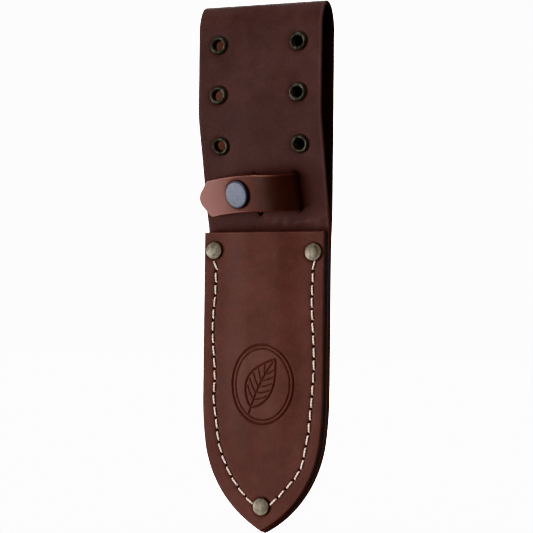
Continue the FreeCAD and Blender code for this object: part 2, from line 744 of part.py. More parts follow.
def main():
    os.makedirs("parts", exist_ok=True)
    save("back_strip", back_strip())
    save("front_panel", front_panel())
    for side, shape in welts().items():
        save("welt_" + side, shape)
    save("strap_flap", strap_flap())
    save("strap_tab", strap_tab())
    save("strap_back_run", strap_back_run())
    save("snap_cap", snap_cap())
    save("snap_socket", snap_socket())
    save("snap_stud", snap_stud())
    save("snap_post", snap_post())
    for name, place in eyelet_placements().items():
        save("eyelet_" + name, placed(eyelet(), place))
        save("eyelet_washer_" + name, placed(eyelet_washer(), place))
    for name, (x, height) in rivet_places().items():
        place = FreeCAD.Placement(Vector(x, 0, height), FreeCAD.Rotation())
        save("rivet_cap_" + name, placed(rivet_cap(), place))
        save("rivet_post_" + name, placed(rivet_post(), place))
    save("thread_left", thread(-1))
    save("thread_right", thread(1))


main()
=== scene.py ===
import json
import math
import bpy
import numpy as np
from mathutils import Matrix, Vector

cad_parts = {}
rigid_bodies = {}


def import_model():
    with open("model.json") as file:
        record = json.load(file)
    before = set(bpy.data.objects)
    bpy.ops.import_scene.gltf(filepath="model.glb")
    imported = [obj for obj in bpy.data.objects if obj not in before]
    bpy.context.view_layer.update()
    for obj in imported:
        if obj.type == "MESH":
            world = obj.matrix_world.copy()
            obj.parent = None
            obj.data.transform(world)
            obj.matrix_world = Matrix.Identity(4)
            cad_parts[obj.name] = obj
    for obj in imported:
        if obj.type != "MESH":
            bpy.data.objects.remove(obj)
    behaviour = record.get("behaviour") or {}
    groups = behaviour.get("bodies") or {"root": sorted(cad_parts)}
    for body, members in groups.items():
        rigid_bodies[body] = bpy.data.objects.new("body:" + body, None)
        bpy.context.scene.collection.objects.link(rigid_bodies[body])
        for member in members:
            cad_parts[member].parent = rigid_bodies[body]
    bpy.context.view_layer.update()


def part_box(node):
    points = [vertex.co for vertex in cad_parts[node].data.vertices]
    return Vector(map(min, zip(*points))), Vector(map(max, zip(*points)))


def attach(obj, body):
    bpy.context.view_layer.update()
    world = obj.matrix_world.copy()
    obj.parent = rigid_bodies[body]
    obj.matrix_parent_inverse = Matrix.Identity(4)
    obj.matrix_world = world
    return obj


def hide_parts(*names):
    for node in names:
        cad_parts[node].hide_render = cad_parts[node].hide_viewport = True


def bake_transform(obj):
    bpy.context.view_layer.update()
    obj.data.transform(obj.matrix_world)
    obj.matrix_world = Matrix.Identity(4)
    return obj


# Looks of the belt sheath: a folded leather strip with eyelets, a moulded and
# embossed pocket front, welts, stitches, a snap strap and its metal hardware.
#
# Shapes are worked out in millimetres in the pocket's own frame: X to the right,
# Y from the pocket's flat front to its back, and height up from the pocket's tip.
# to_row() turns them into metres in the row frame.

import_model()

MM = 0.001
random = np.random.default_rng(7)

# Leather
FRONT_THICKNESS = 2.5
STRIP_THICKNESS = 2.7
STRAP_THICKNESS = 1.8

panel_low, panel_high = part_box("front_panel")
welt_low, welt_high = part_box("welt_left")
strip_low, strip_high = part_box("back_strip")
DATUM_Y = welt_low.y / MM - FRONT_THICKNESS
DATUM_Z = panel_low.z / MM
POCKET_HEIGHT = (panel_high.z - panel_low.z) / MM
POCKET_HALF_WIDTH = panel_high.x / MM
WELT_BACK = welt_high.y / MM - DATUM_Y
WELT_TIP = welt_low.z / MM - DATUM_Z
STRIP_TIP = strip_low.z / MM - DATUM_Z
BACK = strip_high.y / MM - DATUM_Y
LOOP_FRONT = strip_low.y / MM - DATUM_Y
STRIP_HALF_WIDTH = strip_high.x / MM
STRIP_POCKET_HALF_WIDTH = 37.0
STRIP_TAPER = (160.0, 182.0)

SHOULDER_HEIGHT = 76.0
SHOULDER_RADIUS = 200.0
SHOULDER_TURN = 7.5

# The folded strip's side path
LEAN = 14.0
LOWER_BEND = 17.5
UPPER_BEND = 50.0
UPRIGHT = (241.5, 283.4)
FOLD_SIDE_RADIUS = 22.0
FOLD_SIDE_TURN = 32.0

# Stitches
STITCH_X = 30.6
STITCH_SHIFT = 0.7
STITCH_TOP = 152.8
STITCH_BEND_HEIGHT = 78.0
STITCH_BEND_RADIUS = 110.0
STITCH_BEND_TURN = 17.0
STITCH_END_HEIGHT = 11.0
STITCH_END_GAP = 6.3
STITCH_PITCH = 6.9
STITCH_REACH = 5.6
PLY_RADIUS = 0.31
PLY_OFFSET = 0.24
TWIST_LENGTH = 3.1

# The front panel's moulding
BULGE = 2.0
BULGE_FLAT_SHARE = 0.3
BULGE_RISE = (30.0, 75.0)
BULGE_EDGE_MARGIN = 5.0

RIVETS = {"left": (-30.4, 158.5), "right": (30.7, 157.3), "tip": (0.8, 13.6)}
RIVET_RADIUS = 5.0
EYELET_COLUMN = 24.4
EYELET_SHIFT = -0.7
EYELET_ROWS = {"top": 275.2, "middle": 246.6, "lower": 218.0}
EYELET_HOLE = 3.0
EYELET_FLANGE = 5.3

# Strap, in its own frame: u right along the strap, w out of the leather, v up
STRAP_HALF_WIDTH = 10.45
STRAP_BOW = 2.2
TAB_RISE = 1.3
STRAP_X = 20.5
STRAP_HEIGHT = 192.0
STRAP_SKEW = 3.5
SLOT_SPACING = 25.0
SLOT_WIDTH = 2.6
HINGE_SLOT_U = 0.0
SLOTS = {HINGE_SLOT_U: 23.0, -SLOT_SPACING: 25.0}
SLOT_END_RADIUS = 1.6
STRAP_HINGE_W = 1.2
STRAP_SLOPE = 14.0
STRAP_END_U = -60.8
STRAP_POINT_LENGTH = 6.6
STRAP_POINT_RADIUS = 7.0
SNAP_U = -33.3
CAP_RADIUS = 7.9
SOCKET_THICKNESS = 2.3
STUD_FLANGE = 0.8
SNAP_CLEARANCE = 0.3

# Finish of the leather's edges and holes
EDGE_ROUNDING = 0.75
EDGE_STEPS = np.array([0.0, 0.06, 0.16, 0.32, 0.55, 0.85, 1.25])
SEAM_STEPS = np.array([-1.3, -0.85, -0.5, -0.22, 0.0, 0.22, 0.5, 0.85, 1.3])
# Painted shade that the cutters leave round the holes and slots they cut
HOLE_SHADE = -0.6
CUTTER_TOP = 3.0
SCUFF_HEIGHT = 175.5
CREASE_ANGLE = 35.0


def cos(degrees):
    return math.cos(math.radians(degrees))


def sin(degrees):
    return math.sin(math.radians(degrees))


def tan(degrees):
    return math.tan(math.radians(degrees))


def rotation(degrees, axis):
    return Matrix.Rotation(math.radians(degrees), 3, axis)


def full_turn(count):
    return np.linspace(0, 2 * math.pi, count, endpoint=False)


def smooth(share):
    """Eases from 0 to 1 as the share goes from 0 to 1."""
    share = np.clip(share, 0.0, 1.0)
    return share * share * (3 - 2 * share)


def bump(distance, width):
    """1 at distance 0, fading to nothing over about twice the width."""
    return np.exp(-(distance / width) ** 2)


def stations(start, *spans):
    """Values from start on; each span is (value to reach, step)."""
    values = [start]
    for reach, step in spans:
        count = max(1, round(abs(reach - values[-1]) / step))
        values += list(np.linspace(values[-1], reach, count + 1)[1:])
    return np.array(values)


def waves(a, b, size, seed, count=7):
    """Smooth unevenness between about -1 and 1 over the two coordinates, features about size wide."""
    dice = np.random.default_rng(seed)
    total = 0.0
    for _ in range(count):
        angle, phase = dice.uniform(0, 2 * math.pi, 2)
        pace = 2 * math.pi / (size * dice.uniform(0.8, 2.2))
        total = total + np.sin(pace * (a * math.cos(angle) + b * math.sin(angle)) + phase)
    return total / math.sqrt(2 * count)


# Outlines

def outline(half_width, straight_bottom, radius, turn, end_height):
    """A function of height: straight down, then an arc, then a second arc to (0, end_height)."""
    first_x = half_width - radius * (1 - cos(turn))
    first_z = straight_bottom - radius * sin(turn)
    heading = -90.0 - turn
    dx, dz = -first_x, end_height - first_z
    normal_x, normal_z = -sin(heading), cos(heading)
    tip_radius = (dx * dx + dz * dz) / (2 * (dx * normal_x + dz * normal_z))
    centre_x, centre_z = first_x + tip_radius * normal_x, first_z + tip_radius * normal_z

    def half(height):
        height = np.asarray(height, float)
        drop = np.clip(straight_bottom - height, 0.0, radius * sin(turn))
        shoulder = half_width - radius + np.sqrt(radius ** 2 - drop ** 2)
        tip = centre_x + np.sqrt(np.maximum(tip_radius ** 2 - (height - centre_z) ** 2, 0.0))
        return np.where(height >= first_z, shoulder, np.maximum(tip, 0.0))

    return half


panel_half = outline(POCKET_HALF_WIDTH, SHOULDER_HEIGHT, SHOULDER_RADIUS, SHOULDER_TURN, 0.0)
welt_half = outline(POCKET_HALF_WIDTH, SHOULDER_HEIGHT, SHOULDER_RADIUS, SHOULDER_TURN, WELT_TIP)
strip_pocket_half = outline(
    STRIP_POCKET_HALF_WIDTH, SHOULDER_HEIGHT, SHOULDER_RADIUS, SHOULDER_TURN, STRIP_TIP
)
stitch_half = outline(STITCH_X, STITCH_BEND_HEIGHT, STITCH_BEND_RADIUS, STITCH_BEND_TURN, STITCH_END_HEIGHT)


def strip_half(height):
    """The strip's half width: the pocket's outline, widening above it to the loop's."""
    low, high = STRIP_TAPER
    share = np.clip((height - low) / (high - low), 0.0, 1.0)
    widening = (STRIP_HALF_WIDTH - STRIP_POCKET_HALF_WIDTH) * share
    return strip_pocket_half(height) + widening


def wander(side, height):
    """How far the hand-guided seam strays to the right of its line."""
    upper = smooth((height - 55.0) / 30.0)
    if side < 0:
        return 0.8 * upper * np.cos((height - 141.0) / 54.0 * 2 * math.pi) + bump(height - 63.0, 10.0)
    sway = -0.35 - 0.8 * np.cos((height - 131.0) / 70.0 * 2 * math.pi)
    return upper * sway + 1.9 * bump(height - 35.0, 9.0) - 0.5 * bump(height - 64.0, 9.0)


def side_name(side):
    return "left" if side < 0 else "right"


def stitch_x(side, height):
    return side * stitch_half(height) + STITCH_SHIFT + wander(side, height)


# Meshes

def to_row(points):
    """Millimetres in the pocket's frame to metres in the row frame."""
    points = np.asarray(points, float)
    return (points + np.array([0.0, DATUM_Y, DATUM_Z])) * MM


def make_object(name, points, faces, materials, face_slots=None, shade=None, sharp=CREASE_ANGLE):
    mesh = bpy.data.meshes.new(name)
    mesh.from_pydata([tuple(p) for p in to_row(points)], [], [tuple(f) for f in faces])
    for material in materials:
        mesh.materials.append(material)
    if face_slots is not None:
        mesh.polygons.foreach_set("material_index", np.asarray(face_slots, np.int32))
    if shade is not None:
        attribute = mesh.attributes.new("shade", "FLOAT", "POINT")
        attribute.data.foreach_set("value", np.asarray(shade, np.float32))
    mesh.shade_smooth()
    mesh.set_sharp_from_angle(angle=math.radians(sharp))
    mesh.update()
    made = bpy.data.objects.new(name, mesh)
    bpy.context.scene.collection.objects.link(made)
    return made


def grid_faces(rows, columns, offset, flip=False):
    i, j = np.meshgrid(np.arange(rows - 1), np.arange(columns - 1), indexing="ij")
    corner = (offset + i * columns + j).ravel()
    faces = np.stack([corner, corner + 1, corner + 1 + columns, corner + columns], 1)
    return faces[:, ::-1] if flip else faces


def ring_faces(rings, sides, closed=False):
    """Quads between neighbouring rings of points, and from the last to the first if closed."""
    faces = []
    for ring in range(rings if closed else rings - 1):
        here, there = ring * sides, (ring + 1) % rings * sides
        for k in range(sides):
            following = (k + 1) % sides
            faces.append((here + k, here + following, there + following, there + k))
    return faces


def thick_sheet(name, outer, inner, materials, shade_outer=None, shade_inner=None):
    """A closed sheet of leather between two grids of points. Material 0 is its outer
    face, 1 its inner face, 2 its side edges, 3 its first end and 4 its last end."""
    rows, columns, _ = outer.shape
    size = rows * columns
    front = grid_faces(rows, columns, 0)
    back = grid_faces(rows, columns, size, flip=True)
    i, j = np.arange(rows - 1), np.arange(columns - 1)
    left, right = i * columns, i * columns + columns - 1
    low, high = j, (rows - 1) * columns + j
    edges = [(left, left + columns), (right + columns, right), (low + 1, low), (high, high + 1)]
    walls = [np.stack([a, b, size + b, size + a], 1) for a, b in edges]
    faces = np.concatenate([front, back] + walls)
    slots = np.repeat([0, 1, 2, 2, 3, 4], [len(front), len(back)] + [len(w) for w in walls])
    blank = np.zeros((rows, columns))
    shade = np.concatenate([
        (blank if shade_outer is None else shade_outer).ravel(),
        (blank if shade_inner is None else shade_inner).ravel(),
    ])
    points = np.concatenate([outer.reshape(-1, 3), inner.reshape(-1, 3)])
    return make_object(name, points, faces, materials, slots, shade)


def rounding(distance, radius):
    """How far a rounded edge has dropped at this distance from it."""
    inside = np.clip(radius - distance, 0.0, radius)
    return radius - np.sqrt(radius ** 2 - inside ** 2)


def finish_piece(piece, body, node_name):
    """The piece moves with the body and stands for the node."""
    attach(piece, body)
    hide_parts(node_name)


# Materials

def new_material(name):
    material = bpy.data.materials.new(name)
    material.use_nodes = True
    tree = material.node_tree
    return material, tree, tree.nodes["Principled BSDF"]


def node(tree, kind, **settings):
    made = tree.nodes.new(kind)
    for key, value in settings.items():
        if key in made.inputs:
            made.inputs[key].default_value = value
        else:
            setattr(made, key, value)
    return made


def noise_node(tree, coordinates, scale, detail=4.0, roughness=0.55):
    made = node(tree, "ShaderNodeTexNoise", Scale=scale, Detail=detail, Roughness=roughness)
    tree.links.new(coordinates, made.inputs["Vector"])
    return made.outputs["Fac"]


def ramp(tree, value, *stops):
    """A colour ramp with (position, colour) stops."""
    made = tree.nodes.new("ShaderNodeValToRGB")
    elements = made.color_ramp.elements
    while len(elements) < len(stops):
        elements.new(0.5)
    for element, (position, colour) in zip(elements, stops):
        element.position = position
        element.color = (*colour, 1.0)
    tree.links.new(value, made.inputs["Fac"])
    return made.outputs["Color"]


def mix_colour(tree, share, first, second, mode="MIX"):
    made = node(tree, "ShaderNodeMix", data_type="RGBA", blend_type=mode)
    for socket, value in ((made.inputs[0], share), (made.inputs[6], first), (made.inputs[7], second)):
        if isinstance(value, bpy.types.NodeSocket):
            tree.links.new(value, socket)
        else:
            socket.default_value = value if isinstance(value, float) else (*value, 1.0)
    return made.outputs[2]


def maths(tree, operation, first, second=None, clamp=False):
    made = node(tree, "ShaderNodeMath", operation=operation, use_clamp=clamp)
    for socket, value in zip(made.inputs, (first, second)):
        if isinstance(value, bpy.types.NodeSocket):
            tree.links.new(value, socket)
        elif value is not None:
            socket.default_value = value
    return made.outputs[0]


def object_coordinates(tree, stretch=(1.0, 1.0, 1.0)):
    coordinates = tree.nodes.new("ShaderNodeTexCoord").outputs["Object"]
    mapping = node(tree, "ShaderNodeMapping")
    mapping.inputs["Scale"].default_value = stretch
    tree.links.new(coordinates, mapping.inputs["Vector"])
    return mapping.outputs["Vector"]


def paint(tree, shader, colour, settings):
    """Gives the shader its colour and its even settings."""
    tree.links.new(colour, shader.inputs["Base Color"])
    for name, value in settings.items():
        shader.inputs[name].default_value = value


def add_bump(tree, shader, height, distance, strength=1.0, below=None):
    made = node(tree, "ShaderNodeBump", Strength=strength, Distance=distance)
    tree.links.new(height, made.inputs["Height"])
    if below is not None:
        tree.links.new(below, made.inputs["Normal"])
    tree.links.new(made.outputs["Normal"], shader.inputs["Normal"])
    return made.outputs["Normal"]


def noise_colour(tree, coordinates, scale):
    made = node(tree, "ShaderNodeTexNoise", Scale=scale, Detail=2.0)
    tree.links.new(coordinates, made.inputs["Vector"])
    return made.outputs["Color"]


def average(tree, first, second):
    halves = [maths(tree, "MULTIPLY", value, 0.5) for value in (first, second)]
    return maths(tree, "ADD", *halves)


def spread(tree, value, low, high):
    """Noise, most of which lies between 0.3 and 0.7, stretched to run from low to high."""
    made = node(tree, "ShaderNodeMapRange")
    tree.links.new(value, made.inputs["Value"])
    for socket, number in (("From Min", 0.3), ("From Max", 0.7), ("To Min", low), ("To Max", high)):
        made.inputs[socket].default_value = number
    return made.outputs["Result"]


def leather(name, dark, middle, light, roughness=(0.56, 0.70), grain=0.00004):
    """Oiled smooth leather: broad mottling, fine pores, and a shade attribute that is below 0
    where the leather is pressed or burnished and where shade is painted on, and above 0 where
    it is worn pale by rubbing and where a highlight is painted on."""
    darkest = tuple(0.16 * channel + 0.0015 for channel in dark)
    palest = tuple(2.3 * channel + 0.05 for channel in light)
    material, tree, shader = new_material(name)
    place = object_coordinates(tree)
    broad = noise_node(tree, place, 34.0, 3.0)
    cloudy = noise_node(tree, place, 150.0, 5.0, 0.62)
    speckle = noise_node(tree, place, 1300.0, 3.0, 0.6)
    colour = ramp(tree, average(tree, broad, cloudy), (0.33, dark), (0.5, middle), (0.67, light))
    fleck = ramp(tree, speckle, (0.30, (0.72, 0.70, 0.70)), (0.55, (1.0, 1.0, 1.0)))
    colour = mix_colour(tree, 0.55, colour, fleck, "MULTIPLY")
    shade = node(tree, "ShaderNodeAttribute", attribute_name="shade", attribute_type="GEOMETRY")
    # Negative shade: pressed leather and painted shade. Positive shade: leather worn by rubbing, and painted
    # highlights.
    pressed = maths(tree, "MULTIPLY", shade.outputs["Fac"], -1.0, clamp=True)
    rubbed_and_lit = maths(tree, "MULTIPLY", shade.outputs["Fac"], 1.0, clamp=True)
    colour = mix_colour(tree, pressed, colour, darkest)
    colour = mix_colour(tree, rubbed_and_lit, colour, palest)
    paint(tree, shader, colour, {"Specular IOR Level": 0.18})
    tree.links.new(spread(tree, cloudy, *roughness), shader.inputs["Roughness"])
    cells = node(tree, "ShaderNodeTexVoronoi", feature="DISTANCE_TO_EDGE", Scale=1150.0)
    warp = mix_colour(tree, 0.0012, place, noise_colour(tree, place, 700.0), "LINEAR_LIGHT")
    tree.links.new(warp, cells.inputs["Vector"])
    creases = maths(tree, "MINIMUM", maths(tree, "MULTIPLY", cells.outputs["Distance"], 6.0), 1.0)
    first = add_bump(tree, shader, creases, grain, 0.55)
    add_bump(tree, shader, noise_node(tree, place, 420.0, 6.0, 0.62), 3 * grain, 0.5, first)
    return material


def edge_paint(name, dark, light, roughness=0.5):
    """Painted and burnished cut edge, with faint layer lines along it."""
    material, tree, shader = new_material(name)
    lengthwise = object_coordinates(tree, (700.0, 1500.0, 30.0))
    layers = noise_node(tree, lengthwise, 1.0, 4.0)
    blotches = noise_node(tree, object_coordinates(tree), 260.0, 5.0, 0.65)
    colour = ramp(tree, average(tree, layers, blotches), (0.38, dark), (0.62, light))
    paint(tree, shader, colour, {"Roughness": roughness, "Specular IOR Level": 0.2})
    first = add_bump(tree, shader, layers, 0.00012, 0.6)
    add_bump(tree, shader, noise_node(tree, object_coordinates(tree), 900.0, 4.0), 0.0001, 0.5, first)
    return material


def metal(name, dark, middle, light, roughness, scale=900.0, evenness=0.5):
    """Worn plated metal, with tarnish in blotches and fine scratches. The more even it
    is, the less the blotches stand out."""
    material, tree, shader = new_material(name)
    place = object_coordinates(tree)
    blotches = noise_node(tree, place, scale * 0.45, 6.0, 0.65)
    darkest, lightest = 0.5 - 0.28 * evenness, 0.5 + 0.3 * evenness
    colour = ramp(tree, blotches, (darkest, dark), (0.5, middle), (lightest, light))
    paint(tree, shader, colour, {"Metallic": 1.0})
    fine = noise_node(tree, place, scale, 5.0)
    tree.links.new(spread(tree, fine, *roughness), shader.inputs["Roughness"])
    scratches = noise_node(tree, object_coordinates(tree, (4000.0, 4000.0, 260.0)), 1.0, 3.0)
    first = add_bump(tree, shader, scratches, 0.00002, 0.35)
    add_bump(tree, shader, blotches, 0.00005, 0.4, first)
    return material


def thread_material():
    material, tree, shader = new_material("waxed_thread")
    place = object_coordinates(tree)
    fibres = noise_node(tree, object_coordinates(tree, (5200.0, 5200.0, 1500.0)), 1.0, 4.0)
    soil = noise_node(tree, place, 120.0, 4.0, 0.6)
    clean = ramp(tree, fibres, (0.3, (0.68, 0.56, 0.49)), (0.62, (0.95, 0.83, 0.76)))
    soiled = ramp(tree, soil, (0.45, (0.0, 0.0, 0.0)), (0.75, (0.5, 0.5, 0.5)))
    colour = mix_colour(tree, soiled, clean, (0.50, 0.38, 0.28))
    paint(tree, shader, colour, {"Roughness": 0.62, "Sheen Weight": 0.25})
    add_bump(tree, shader, fibres, 0.00008, 0.8)
    return material


# Colours run from dark to light, as linear red, green and blue.
strip_leather = leather(
    "strip_leather", (0.046, 0.0235, 0.0215), (0.059, 0.0300, 0.0275), (0.074, 0.0385, 0.0350)
)
pocket_leather = leather(
    "pocket_leather", (0.070, 0.0295, 0.0250), (0.088, 0.0375, 0.0315), (0.108, 0.0465, 0.0390)
)
strap_leather = leather(
    "strap_leather", (0.080, 0.031, 0.024), (0.096, 0.038, 0.030), (0.116, 0.047, 0.038)
)
flesh_side = leather(
    "flesh_side", (0.050, 0.022, 0.016), (0.085, 0.038, 0.028), (0.125, 0.060, 0.044),
    roughness=(0.75, 0.9), grain=0.00016,
)
black_edge = edge_paint("black_edge", (0.0045, 0.0044, 0.0042), (0.0115, 0.0105, 0.0095))
brown_edge = edge_paint("brown_edge", (0.040, 0.016, 0.009), (0.105, 0.045, 0.022), 0.55)
cut_edge = edge_paint("cut_edge", (0.10, 0.035, 0.016), (0.20, 0.080, 0.036), 0.6)
METALS = {
    "snap_metal": metal(
        "satin_nickel", (0.102, 0.107, 0.129), (0.130, 0.137, 0.163), (0.157, 0.165, 0.196),
        roughness=(0.60, 0.70), evenness=1.3,
    ),
    "rivet_metal": metal(
        "antique_nickel", (0.062, 0.052, 0.040), (0.138, 0.119, 0.094), (0.24, 0.212, 0.175),
        roughness=(0.44, 0.58), scale=700.0, evenness=0.8,
    ),
    "eyelet_metal": metal(
        "gunmetal", (0.042, 0.040, 0.035), (0.066, 0.063, 0.055), (0.108, 0.104, 0.092),
        roughness=(0.58, 0.72),
    ),
}
waxed_thread = thread_material()


# Long folded strip

def trace(start, heading, moves, steps):
    """Points along a path of lines (length,) and arcs (radius, turn), with a step for
    each move: positions and headings."""
    spots, headings = [start], [heading]
    for move, step in zip(moves, steps):
        x, y = spots[-1]
        heading = headings[-1]
        turn = move[1] if len(move) == 2 else 0.0
        length = move[0] * math.radians(abs(turn)) if turn else move[0]
        count = max(1, round(length / step))
        for share in np.arange(1, count + 1) / count:
            chord = heading + turn * share / 2
            bent = math.radians(turn * share / 2)
            reach = length * share * (math.sin(bent) / bent if turn else 1.0)
            spots.append((x + reach * cos(chord), y + reach * sin(chord)))
            headings.append(heading + turn * share)
    return np.array(spots), np.array(headings)


def beside(path, headings, away):
    """Grids of both coordinates, away to the left of each row's place on the path."""
    turn = np.radians(headings)[:, None]
    return path[:, :1] - away * np.sin(turn), path[:, 1:] + away * np.cos(turn)


def lean_length():
    """Length of the strip's straight stretch between its two bends."""
    run = WELT_BACK - LOOP_FRONT - (LOWER_BEND + UPPER_BEND) * (1 - cos(LEAN))
    return run / sin(LEAN)


def lean_face(height):
    """Y of the strip's front face where it leans forward."""
    top_height = UPRIGHT[0] - UPPER_BEND * sin(LEAN)
    top_y = LOOP_FRONT + STRIP_THICKNESS / 2 + UPPER_BEND * (1 - cos(LEAN))
    middle = top_y + (top_height - height) * tan(LEAN)
    return middle - STRIP_THICKNESS / 2 / cos(LEAN)


class Seat:
    """A place on a leather face: its origin and its outward, up and right directions."""

    def __init__(self, origin, lean=0.0, skew=0.0, outward=-1):
        tilt = rotation(lean, "X") @ rotation(-skew, "Y")
        self.origin = np.array(origin, float)
        self.right = np.array(tilt @ Vector((1, 0, 0)))
        self.up = np.array(tilt @ Vector((0, 0, 1)))
        self.out = np.array(tilt @ Vector((0, outward, 0)))

    def at(self, right, out, up):
        right, out, up = (np.asarray(v, float)[..., None] for v in (right, out, up))
        return self.origin + right * self.right + out * self.out + up * self.up


def eyelet_seats():
    seats = {}
    for row, height in EYELET_ROWS.items():
        for side, column in (("left", -EYELET_COLUMN), ("right", EYELET_COLUMN)):
            x = EYELET_SHIFT + column
            if row == "lower":
                seats[row + "_" + side] = Seat((x, lean_face(height), height), LEAN)
            else:
                seats[row + "_" + side] = Seat((x, LOOP_FRONT, height))
    return seats


eyelets = eyelet_seats()
strap_seat = Seat((STRAP_X, lean_face(STRAP_HEIGHT), STRAP_HEIGHT), LEAN, STRAP_SKEW)


def strip_path():
    """The strip's middle from its front tip up, over the fold and down to its rear tip."""
    bend_rise = (LOWER_BEND + UPPER_BEND) * sin(LEAN)
    lean_bottom = UPRIGHT[0] - bend_rise - lean_length() * cos(LEAN)
    half_depth = (BACK - LOOP_FRONT) / 2 - STRIP_THICKNESS / 2
    side_radius = FOLD_SIDE_RADIUS - STRIP_THICKNESS / 2
    top_radius = (half_depth - side_radius * (1 - cos(FOLD_SIDE_TURN))) / cos(FOLD_SIDE_TURN)
    tip, near_tip, below_lean = 2.0, 4.0, 22.0
    moves = [
        (tip,), (lean_bottom - below_lean - tip - STRIP_TIP,), (below_lean,),
        (LOWER_BEND, LEAN), (lean_length(),), (UPPER_BEND, -LEAN), (UPRIGHT[1] - UPRIGHT[0],),
        (side_radius, -FOLD_SIDE_TURN), (top_radius, -(180.0 - 2 * FOLD_SIDE_TURN)),
        (side_radius, -FOLD_SIDE_TURN), (UPRIGHT[1] - near_tip,), (near_tip - STRIP_TIP - tip,), (tip,),
    ]
    steps = [0.4, 4.0, 1.5, 1.0, 0.9, 0.9, 0.9, 1.0, 0.8, 1.0, 1.6, 0.8, 0.3]
    return trace((WELT_BACK + STRIP_THICKNESS / 2, STRIP_TIP), 90.0, moves, steps)


def across(half, core):
    """Column positions for one row: core values scaled between the two stepped edges."""
    squeeze = min(1.0, half / 4.0)
    edge = half - EDGE_STEPS * squeeze
    inner = edge[-1] * core / core[-1]
    right = np.concatenate([inner[:-1], edge[::-1]])
    return np.concatenate([-right[:0:-1], right])


def slot_coordinates(x, height):
    """(u, v) in the strap's frame of points on the leaning face."""
    dx, dz = x - STRAP_X, (height - STRAP_HEIGHT) / cos(LEAN)
    return dx * cos(STRAP_SKEW) + dz * sin(STRAP_SKEW), -dx * sin(STRAP_SKEW) + dz * cos(STRAP_SKEW)


def strip_unevenness(x, height):
    return 0.16 * waves(x, height, 26.0, 3) + 0.05 * waves(x, height, 8.0, 4)


def rear_dents(x, height):
    """How deep the rear face is pressed in by stitches and rivets, and its shade, with painted
    shade round the rivets.
    """
    depth = strip_unevenness(x, height)
    shade = np.zeros_like(depth)
    sewn = (height > STITCH_END_HEIGHT + 2.0) & (height < STITCH_TOP)
    for side in (-1, 1):
        aside = np.abs(x - stitch_x(side, height))
        depth += 0.3 * bump(aside, 0.9) * sewn
        shade -= 0.35 * bump(aside, 1.0) * sewn
    for rivet_x, rivet_height in RIVETS.values():
        away = np.hypot(x - rivet_x, height - rivet_height)
        depth += 0.35 * smooth((6.5 - away) / 2.5)
        # Painted shade in a ring where the leather meets the rivet's base.
        shade -= 0.45 * bump(away - 4.9, 0.7)
    return depth, shade


def front_dents_and_painted_shade(x, height):
    """How deep the loop's front face is pressed in by eyelets and around the slots, and its shade:
    painted shade round the eyelets and along the slots' rims, a painted shadow round the hinge
    slot, and faint scuffs below the strap."""
    depth = strip_unevenness(x, height)
    shade = np.zeros_like(depth)
    for seat in eyelets.values():
        slant = cos(LEAN) if seat.out[2] else 1.0
        away = np.hypot(x - seat.origin[0], (height - seat.origin[2]) / slant)
        depth += 0.28 * smooth((7.6 - away) / 2.6)
        # Painted shade in a ring where the leather meets the eyelet's flange.
        shade -= 0.50 * bump(away - EYELET_FLANGE, 0.6)
    scuffed = bump(height - SCUFF_HEIGHT, 3.2) * smooth((x + 8.0) / 14.0)
    shade += 0.13 * scuffed * np.maximum(waves(x, 2.2 * height, 7.0, 41) + 0.3, 0.0)
    along, up = slot_coordinates(x, height)
    for u, length in SLOTS.items():
        reach = length / 2 - SLOT_END_RADIUS
        away = np.hypot(along - u, np.maximum(np.abs(up) - reach, 0.0))
        depth += 0.35 * smooth((3.4 - away) / 2.2)
        # Painted shade along the slot's rim.
        shade -= 0.5 * bump(away - 1.4, 1.0)
        # Painted shadow of the strap, spreading round the hinge slot.
        if u == HINGE_SLOT_U:
            shade -= 0.34 * bump(away, 5.5)
    return depth, shade


def prism(seat, rights, ups, top, bottom):
    """A closed prism over an outline on a seat, as a cutting object."""
    count = len(rights)
    points = np.concatenate([
        seat.at(rights, np.full(count, top), ups), seat.at(rights, np.full(count, bottom), ups)
    ])
    k = np.arange(count)
    faces = [tuple(k), tuple(k[::-1] + count)]
    faces += [(b, a, a + count, b + count) for a, b in zip(k, (k + 1) % count)]
    return make_object("cutter", points, faces, [black_edge], shade=np.full(2 * count, HOLE_SHADE))


def eyelet_cutter(seat):
    """A round hole for the eyelet's barrel, through one layer of the strip."""
    radius = EYELET_HOLE + 0.5
    angles = full_turn(48)
    return prism(seat, radius * np.cos(angles), radius * np.sin(angles), CUTTER_TOP, -8.0)


def slot_cutter(u, length):
    """A slot whose round punched ends are a little wider than the slot."""
    reach = length / 2 - SLOT_END_RADIUS
    start = math.acos(SLOT_WIDTH / 2 / SLOT_END_RADIUS)
    top = np.linspace(-start, math.pi + start, 15)
    upper = [(SLOT_END_RADIUS * math.cos(a), reach + SLOT_END_RADIUS * math.sin(a)) for a in top]
    lower = [(-x, -z) for x, z in upper]
    rights, ups = np.array(upper + lower).T
    return prism(strap_seat, rights + u, ups, CUTTER_TOP, -2 * STRIP_THICKNESS)


def cut(piece, cutters):
    """Takes all the cutters out of the piece."""
    joined = bpy.data.collections.new("cutters")
    for cutter in cutters:
        joined.objects.link(cutter)
    modifier = piece.modifiers.new("cut", "BOOLEAN")
    modifier.operation = "DIFFERENCE"
    modifier.solver = "EXACT"
    modifier.operand_type = "COLLECTION"
    modifier.collection = joined
    modifier.material_mode = "TRANSFER"
    shaped = piece.evaluated_get(bpy.context.evaluated_depsgraph_get())
    mesh = bpy.data.meshes.new_from_object(shaped)
    piece.modifiers.clear()
    piece.data = mesh
    for cutter in list(joined.objects):
        bpy.data.objects.remove(cutter)
    bpy.data.collections.remove(joined)
    mesh.set_sharp_from_angle(angle=math.radians(CREASE_ANGLE))


